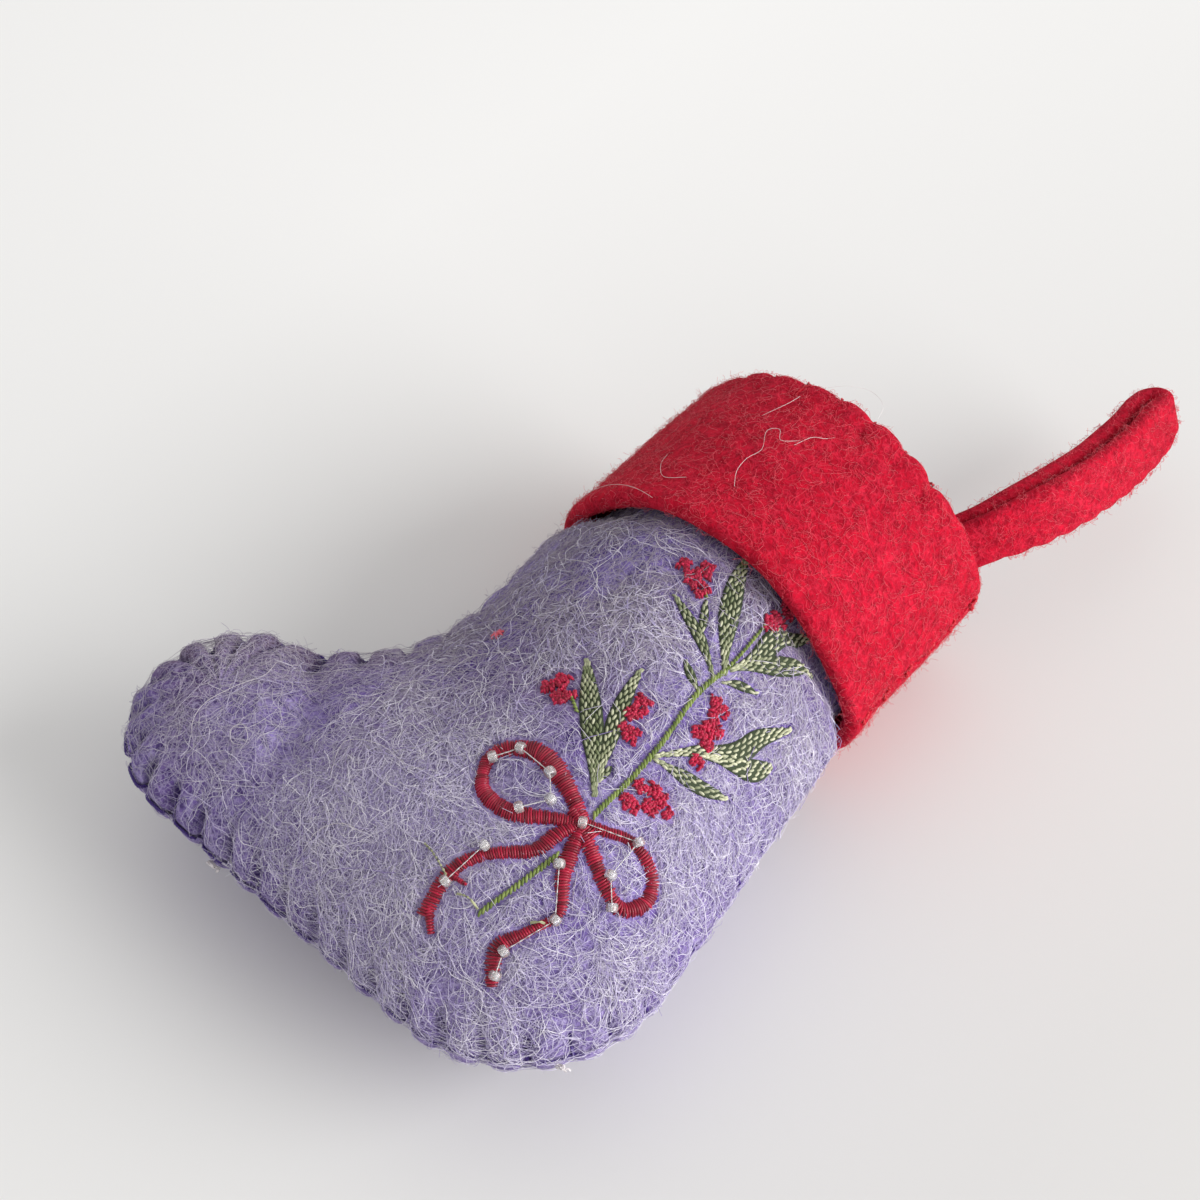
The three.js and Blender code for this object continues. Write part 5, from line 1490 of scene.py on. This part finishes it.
def bead_path(places):
    """Thread through a string's beads, with both ends pulled down into the felt."""
    points = places["points"]
    ends = points[[0, -1]] - unit(places["up"][[0, -1]]) * 2.2 + np.array([[0.4, 0.6, 0], [0.4, -0.6, 0]])
    stops = np.concatenate([ends[:1], points, ends[1:]])
    jumps = [np.linspace(a, b, 6, endpoint=False) for a, b in zip(stops[:-1], stops[1:])]
    return np.concatenate([*jumps, stops[-1:]])


bead_paths = [bead_path(places) for places in bead_places]
bead_threads = spun("bead_threads", bead_paths, NYLON_RADIUS, NYLON_PITCH, clear_thread)
print("beads:", sum(map(len, BEAD_STRINGS)))

# %% [markdown]
# ## Fuzz
# What makes wool felt look like wool is its loose fibres: pale, fine and curly, lying over the dyed mat
# and standing off at the outline. A few curls are drawn once, and the fuzz tree sows them over the felt
# in clumps, turned at random, thinner at the toe and near the embroidery, which was pressed flat, and
# none under the cuff. Straighter tufts lie combed one way. A few long hairs, a bit of lint, two specks
# of stuffing at the seam and some loose thread ends are laid one by one.

# %% Fuzz
FIBRE_STOPS = 10
FIBRE_KINDS = 24
FIBRE_CURLS = (0.18, 0.42, 0.85)
STRAIGHT_STEP = len(FIBRE_CURLS)
GRAIN = (0.64, -0.77, 0.0)
PALE_FUZZ = 1.2
CLUMP_SIZE = 4.0
BROAD_CLUMP_SIZE = 11
TABLE_CLEARANCE = np.array([1.5, 3.5])


def fibre_template(seed):
    """Curly line of unit length on the plane z = 0, with how far each stop rises off the felt."""
    dice = random.Random(seed)
    curl = FIBRE_CURLS[seed % len(FIBRE_CURLS)]
    heading, place, line, rise = 0.0, np.zeros(3), [], []
    bend = dice.choice((-1, 1)) * curl
    wave = dice.uniform(1.0, 2.5)
    loose = seed % 4 == 0
    for stop in range(FIBRE_STOPS):
        share = stop / (FIBRE_STOPS - 1)
        line.append(place)
        height = 0.3 + 0.7 * math.sin(math.pi * wave * share) ** 2
        tucked = -0.4 if stop == 0 or (stop == FIBRE_STOPS - 1 and not loose) else height
        rise.append(tucked + (1.2 * share**4 if loose else 0.0))
        heading += bend * dice.uniform(0.4, 1.0) + dice.gauss(0, 0.16)
        place = place + np.array([math.cos(heading), math.sin(heading), 0]) / (FIBRE_STOPS - 1)
        if dice.random() < 0.18:
            bend = -bend
    mesh = bpy.data.meshes.new("fibre")
    mesh.from_pydata([tuple(p) for p in line], [(k, k + 1) for k in range(FIBRE_STOPS - 1)], [])
    mesh.attributes.new("rise", "FLOAT", "POINT").data.foreach_set("value", np.array(rise, np.float32))
    return bpy.data.objects.new("fibre", mesh)


fibre_kinds = bpy.data.collections.new("fibre kinds")
for seed in range(FIBRE_KINDS):
    fibre_kinds.objects.link(fibre_template(seed))


def fuzz(name, skin, count, seed, finish, lengths=(4.0, 12.0), loft=0.28, radius=0.03,
         spread=math.pi, step=1):
    """About count fibres over a skin, which is a grid, its faces, its share of fuzz and its stitch marks."""
    grid, faces, amount, marks = skin
    amount = np.clip(amount, 0, 3)
    host = host_mesh(grid.reshape(-1, 3), faces=faces, fuzz=amount.ravel())
    host.data.shade_smooth()
    corners = amount.ravel()[np.array(faces)].mean(1)
    areas = np.empty(len(host.data.polygons))
    host.data.polygons.foreach_get("area", areas)
    return grown(name, host, felt_fuzz, fibres=fibre_kinds, sewn=marks,
                 fibres_per_area=count / (areas @ corners), shortest=lengths[0] * MM,
                 longest=lengths[1] * MM, loft=loft * MM, radius=radius * MM,
                 seed=seed, grain=GRAIN, spread=spread, kind_step=step, finish=finish)


def nearest_gap(points, others):
    """Distance from each point to the nearest of the others."""
    count = len(others)
    corners = np.concatenate([others, others + 1e-3, others + np.array([1e-3, 0, 0])])
    near = BVHTree.FromPolygons(corners.tolist(), [(k, k + count, k + 2 * count) for k in range(count)])
    gaps = [near.find_nearest(Vector(p))[3] for p in points.reshape(-1, 3)]
    return np.array(gaps).reshape(points.shape[:-1])


def stitch_reach(places):
    """Middle of each stitch and two places toward its ends."""
    return np.concatenate([places["points"] + share * places["across"] / MM for share in (-0.8, 0, 0.8)])


sewn_spots = np.concatenate(
    [stitch_reach(places) for places in (*bow_places.values(), stem_places, leaf_places, berry_places)])
stitch_spots = np.concatenate([over_edge(run + off)[2:-2] for run in stitch_runs for off in (-0.6, 0, 0.6)])
sprig_gap = nearest_gap(front_skin, sewn_spots)
sewn_marks = host_mesh(np.concatenate([sewn_spots, stitch_spots]))
no_marks = host_mesh(np.array([[0, 0, 1000.0]]))


def off_table(points):
    """0 where the felt lies on the table, rising to 1 above it."""
    return ease(points[..., 2], *(TABLE_CLEARANCE - REST_DEPTH))


def panel_skin(skin, faces, sprig, seed):
    """Fuzz of a panel: clumpy, thicker toward the heel, none under the cuff, on stitches or on the table."""
    edge_gap = nearest_gap(skin, stitch_spots)
    open_leg = 1 - ease(skin[..., 1], HEM_HEIGHT + 1.0, HEM_HEIGHT + 4.0)
    off_stitches = 0.1 + 0.9 * ease(edge_gap, 0.5, 2.0)
    clumps = np.maximum(0.8 + 1.2 * lumps(skin, BROAD_CLUMP_SIZE, seed), 0.15)
    clumps = clumps * (0.5 + 0.75 * ease(skin[..., 0], -35, 15))
    off_edge = 0.75 + 0.25 * ease(np.abs(skin[..., 2]), 3.0, 8.0)
    clumps = clumps * (1 + PALE_FUZZ * pale_lit_share(skin))
    clumps = clumps * np.maximum(0.75 + 2.0 * lumps(skin, CLUMP_SIZE, seed + 7), 0.12)
    amount = open_leg * off_table(skin) * off_stitches * off_edge * clumps
    amount = amount * (0.1 + 0.9 * ease(sprig, 0.1, 1.2))
    return skin, faces, amount, sewn_marks


panel_faces = grid_faces(*front_skin.shape[:2])
front_side = panel_skin(front_skin, panel_faces[:, ::-1], sprig_gap, 21)
back_side = panel_skin(back_skin, panel_faces, np.full(back_skin.shape[:2], 9.0), 22)
front_fuzz_pieces = [
    fuzz(f"front_fuzz_{seed}", front_side, 3300, seed, lavender_fibre) for seed in (1, 2, 3)]
tuft_amount = front_side[2] * (0.12 + 0.88 * ease(front_skin[..., 0], -32, -8))
tuft_side = (front_skin, front_side[1], tuft_amount, sewn_marks)
front_tufts = fuzz("front_tufts", tuft_side, 2600, 4, tuft_fibre, (3.5, 9.0), 0.5, 0.052, 0.9, STRAIGHT_STEP)
front_wisps = fuzz("front_wisps", front_side, 500, 8, lavender_fibre, (8.0, 18.0), 0.5, 0.045, 1.4)
front_halo = fuzz("front_halo", front_side, 1600, 9, lavender_fibre, (2.5, 6.0), 0.9, 0.028)
back_fuzz = fuzz("back_fuzz", back_side, 2000, 5, lavender_fibre)

cuff_out = cuff_section[:, 1] > 0.6
cuff_amount = cuff_out * off_table(cuff_grid)
cuff_side = (cuff_grid, grid_faces(*cuff_grid.shape[:2], True, True), cuff_amount, no_marks)
cuff_fuzz = fuzz("cuff_fuzz", cuff_side, 2500, 6, red_fibre, (1.5, 5.0), 0.22, 0.028)
cuff_halo = fuzz("cuff_halo", cuff_side, 1300, 16, red_fibre, (1.0, 3.0), 0.7, 0.022)
strap_amount = ease(strap_grid[..., 1], STOCKING_HEIGHT + 4.0, STOCKING_HEIGHT + 8.0)
strap_skin_faces = grid_faces(*strap_grid.shape[:2], ring_columns=True)[:, ::-1]
strap_side = (strap_grid, strap_skin_faces, strap_amount, no_marks)
strap_fuzz = fuzz("strap_fuzz", strap_side, 1300, 7, red_fibre, (1.2, 3.5), 0.6, 0.025)
boot_fuzz_pieces = [*front_fuzz_pieces, front_tufts, front_wisps, front_halo, back_fuzz]
fuzz_pieces = [*boot_fuzz_pieces, cuff_fuzz, cuff_halo, strap_fuzz]
print("fibre faces:", [len(piece.data.polygons) for piece in fuzz_pieces])

CUFF_HAIRS = [
    [(152, 79.0, 2.6), (144, 78.8, 3.3), (131, 79.2, 3.6), (118, 78.4, 3.8), (107, 77.0, 3.9)],
    [(92, 86.5, 3.1), (95, 89, 3.5), (96, 92, 3.4), (95, 95, 3.3), (98.6, 98.5, 3.6), (96, 100, 3.6),
     (93, 98.3, 3.4), (89, 100.3, 3.2)],
    [(89, 99.0, 3.2), (87, 102, 3.5), (84, 103.4, 3.4), (82, 105.4, 3.2)],
    [(122, 88.5, 3.1), (119, 85.6, 3.4), (112, 82.4, 3.5), (106, 84, 3.2)],
    [(105.5, 101.7, 3.1), (102, 105.7, 3.5), (101.5, 108.6, 3.2)],
    [(97, 112.5, 3.2), (92, 114.6, 3.4), (86, 116.4, 2.8), (80, 115.4, 3.0), (78, 112.6, 3.2)],
]
BOOT_HAIRS = [
    [(-39.7, 11.0), (-42.2, 13.4), (-42.7, 16.6), (-41.5, 20.6), (-39.7, 25.4), (-41.0, 29.4)],
    [(-33.3, 14.2), (-33.3, 15.9), (-35.3, 17.1), (-36.4, 15.7), (-35.0, 14.3), (-33.5, 14.8)],
    [(-18.4, 17.4), (-20.5, 22.8), (-15.6, 25.0), (-9.6, 24.7), (-5.4, 26.4)],
    [(-14.8, 6.9), (-14.6, 10.7), (-11.8, 13.4), (-6.8, 13.6)],
    [(-17.3, 37.3), (-16.8, 45.3), (-11.9, 48.7)],
    [(-18.0, 67.0), (-11.8, 66.5), (-8.0, 64.0), (-7.0, 60.0)],
]
CUFF_HAIR_RADIUS = 0.03
BOOT_HAIR_RADIUS = 0.04
LINT_PLACE = np.array([-16.5, 51.2])
LINT_ARMS = 7
LINT_RADIUS = 0.18
FLECK_PLACES = ((-28.2, 2.0, -1.5), (31.0, 9.0, -1.2))
FLECK_FIBRES = 10
FLECK_STOPS = 6
FLECK_STEP = 0.32
FLECK_RADIUS = 0.16
NO_TWIST = 60.0
LOOSE_THREAD_RADIUS = 0.2
LOOSE_THREAD_PITCH = 1.0
LOOSE_THREADS = [[(0.4, 16.9), (3.2, 16.4), (6.3, 15.1)], [(8.7, 14.2), (10.4, 14.7), (12.2, 14.4)],
                 [(18.9, 17.6), (19.7, 18.4), (20.4, 18.8)]]


def laid_line(flat, lift):
    """Line over the front felt, bowed up in its middle."""
    spots, normals = lay(even_line(flat, 0.6))
    bow = np.sin(np.linspace(0, np.pi, len(spots)))[:, None]
    return spots + normals * (lift * (0.3 + 0.7 * bow))


cuff_lines = []
for stops in CUFF_HAIRS:
    turn, y, off = even_line(stops, 0.8).T
    cuff_lines.append(cuff_place(np.radians(turn), y, off))
cuff_hairs = spun("cuff_hairs", cuff_lines, CUFF_HAIR_RADIUS, NO_TWIST, white_fibre)
boot_lines = [laid_line(flat, 0.6) for flat in BOOT_HAIRS]
boot_hairs = spun("boot_hairs", boot_lines, BOOT_HAIR_RADIUS, NO_TWIST, white_fibre)
lint_lines = []
for turn in np.linspace(0, 2 * np.pi, LINT_ARMS, endpoint=False):
    arm = np.array([math.cos(turn), math.sin(turn)])
    crumb = [LINT_PLACE - 0.5 * arm, LINT_PLACE + 0.3 * arm[::-1], LINT_PLACE + arm]
    lint_lines.append(laid_line(crumb, 0.5))
red_lint = spun("red_lint", lint_lines, LINT_RADIUS, NO_TWIST, pink_thread)
loose_ends = [laid_line(flat, 1.3) for flat in LOOSE_THREADS]
loose_threads = spun(
    "loose_threads", loose_ends, LOOSE_THREAD_RADIUS, LOOSE_THREAD_PITCH, loose_thread)

flecks = []
fleck_dice = np.random.default_rng(14)
for place in FLECK_PLACES:
    for _ in range(FLECK_FIBRES):
        crumple = np.cumsum(fleck_dice.normal(0, FLECK_STEP, (FLECK_STOPS, 3)), axis=0)
        flecks.append(np.array(place) + crumple * np.array([1.0, 0.5, 0.5]))
seam_flecks = spun("seam_flecks", flecks, FLECK_RADIUS, NO_TWIST, white_fibre)

for kind in list(fibre_kinds.objects):
    bpy.data.objects.remove(kind)
bpy.data.collections.remove(fibre_kinds)
for helper in (stitch, bead, sewn_marks, no_marks):
    bpy.data.objects.remove(helper)

# %% [markdown]
# ## Stage, light and camera
# A pale table, a large soft window on the right, a little toward the viewer, and a bright room give the
# flat daylight of a product picture. The table's colour is painted lighter on the left and darker toward
# the window, painted light and shade across the floor. The camera looks down from the heel side of the front.

# %% Stage, light and camera
AZIMUTH, ELEVATION = math.radians(40), math.radians(52)
VIEW_TARGET = Vector(to_frame((-16.15, 74.0, 0.0)))
LENS = 85.0
CAMERA_DISTANCE = 0.4359
back = Vector((math.sin(AZIMUTH) * math.cos(ELEVATION), -math.cos(AZIMUTH) * math.cos(ELEVATION),
               math.sin(ELEVATION)))
camera = linked("camera", bpy.data.cameras.new("camera"))
camera.data.lens = LENS
camera.data.sensor_width = 36.0
camera.data.clip_start = 0.01
camera.location = VIEW_TARGET + back * CAMERA_DISTANCE
camera.rotation_mode = "QUATERNION"
camera.rotation_quaternion = (-back).to_track_quat("-Z", "Y")
bpy.context.scene.camera = camera
bpy.context.scene.view_settings.view_transform = "Standard"

TABLE_SIZE = 6.0
TABLE_FADE = 0.14
# The table's colour fades from lighter on the left to darker toward the window: painted light and shade on
# the floor.
TABLE_LEFT_PAINTED_LIGHT = (0.90, 0.90, 0.895, 1)
TABLE_RIGHT_PAINTED_SHADE = (0.71, 0.705, 0.70, 1)
half = TABLE_SIZE / 2
table_corners = [(-half, -half, 0), (half, -half, 0), (half, half, 0), (-half, half, 0)]
table_mesh = bpy.data.meshes.new("table")
table_mesh.from_pydata(table_corners, [], [(0, 1, 2, 3)])
table, table_recipe, table_shader = new_material("pale_table")
table_place = table_recipe.add("ShaderNodeTexCoord").outputs["Object"]
toward_light = (math.cos(AZIMUTH) + math.sin(AZIMUTH), math.sin(AZIMUTH) - math.cos(AZIMUTH), 0)
reach = table_recipe.add("ShaderNodeVectorMath", {0: table_place, 1: toward_light}, operation="DOT_PRODUCT")
centre_reach = Vector(toward_light).dot(VIEW_TARGET)
share = table_recipe.remap(reach.outputs["Value"], centre_reach - TABLE_FADE, centre_reach + TABLE_FADE)
table_colour = table_recipe.mix(share, TABLE_LEFT_PAINTED_LIGHT, TABLE_RIGHT_PAINTED_SHADE)
table_recipe.tree.links.new(table_colour, table_shader.inputs["Base Color"])
table_shader.inputs["Roughness"].default_value = 0.45
table_mesh.materials.append(table)
table_top = linked("table", table_mesh)

right = Vector((math.cos(AZIMUTH), math.sin(AZIMUTH), 0))
away = Vector((-math.sin(AZIMUTH), math.cos(AZIMUTH), 0))
WINDOW_SIDE = 1.55
WINDOW_DEPTH = -0.5
WINDOW_HEIGHT = 0.48
WINDOW_SIZE = 1.8
WINDOW_POWER = 49.0
ROOM_LIGHT = 0.66
window = bpy.data.lights.new("window", "AREA")
window.shape = "DISK"
window.size = WINDOW_SIZE
window.energy = WINDOW_POWER
window.color = (1.0, 0.995, 0.985)
window_light = linked("window", window)
window_light.location = (
    VIEW_TARGET + right * WINDOW_SIDE + away * WINDOW_DEPTH + Vector((0, 0, WINDOW_HEIGHT)))
window_light.rotation_mode = "QUATERNION"
window_light.rotation_quaternion = (VIEW_TARGET - window_light.location).to_track_quat("-Z", "Y")
world = bpy.data.worlds.new("bright_room")
world.use_nodes = True
background = world.node_tree.nodes["Background"]
background.inputs["Color"].default_value = (1.0, 0.99, 0.98, 1)
background.inputs["Strength"].default_value = ROOM_LIGHT
bpy.context.scene.world = world

# %% [markdown]
# ## Seating the pieces
# Each piece of the stocking now stands for its imported solid and moves with the stocking body. The
# strap and its fuzz keep their places in the frame with no body, and the strap's solids are hidden.


def settle(piece, slot, *nodes):
    """A piece of the stocking: its body and the solids that it stands for. The slot is not used."""
    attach(piece, "stocking")
    if nodes:
        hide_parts(*nodes)


settle(front_felt, "lavender_felt", "front_panel")
settle(back_felt, "lavender_felt", "back_panel")
settle(stuffing, "stuffing_fibre", "stuffing")
settle(cuff_felt, "red_felt", "cuff")
settle(edge_threads, "purple_thread", "edge_stitching")
settle(rim_threads, "red_thread", "rim_stitching")
settle(cuff_seam_threads, "red_thread", "cuff_seam_stitching")
settle(tack_threads, "pink_thread", "loop_tack_stitch")
for node, piece in bow_pieces.items():
    settle(piece, "red_satin", node)
settle(stem_stitches, "stem_thread", "stem_upper", "stem_lower")
settle(leaf_stitches, "leaf_thread", *(f"leaf_{k + 1}" for k in range(len(LEAVES))))
settle(leaf_ground, "leaf_thread")
settle(berry_stitches, "berry_thread", *BERRIES)
settle(glass_beads, "bead_glass", *(
    f"bead_{s + 1}_{k + 1}" for s, string in enumerate(BEAD_STRINGS) for k in range(len(string))))
settle(bead_threads, "clear_thread", *(f"bead_thread_{s + 1}" for s in range(len(BEAD_STRINGS))))
for piece in boot_fuzz_pieces:
    settle(piece, "lavender_felt")
for piece in (cuff_fuzz, cuff_halo, cuff_hairs):
    settle(piece, "red_felt")
for piece in (boot_hairs, red_lint, seam_flecks):
    settle(piece, "lavender_felt")
settle(loose_threads, "stem_thread")

for piece in (hanging_strap, strap_fuzz):
    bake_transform(piece)
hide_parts("hanging_loop", "loop_tails")

cuff_round = cuff_place(np.linspace(0, 2 * np.pi, 400), STOCKING_HEIGHT - CUFF_HEIGHT / 2, CUFF_FELT / 2)
strap_length = run_along(strap_line())[-1]
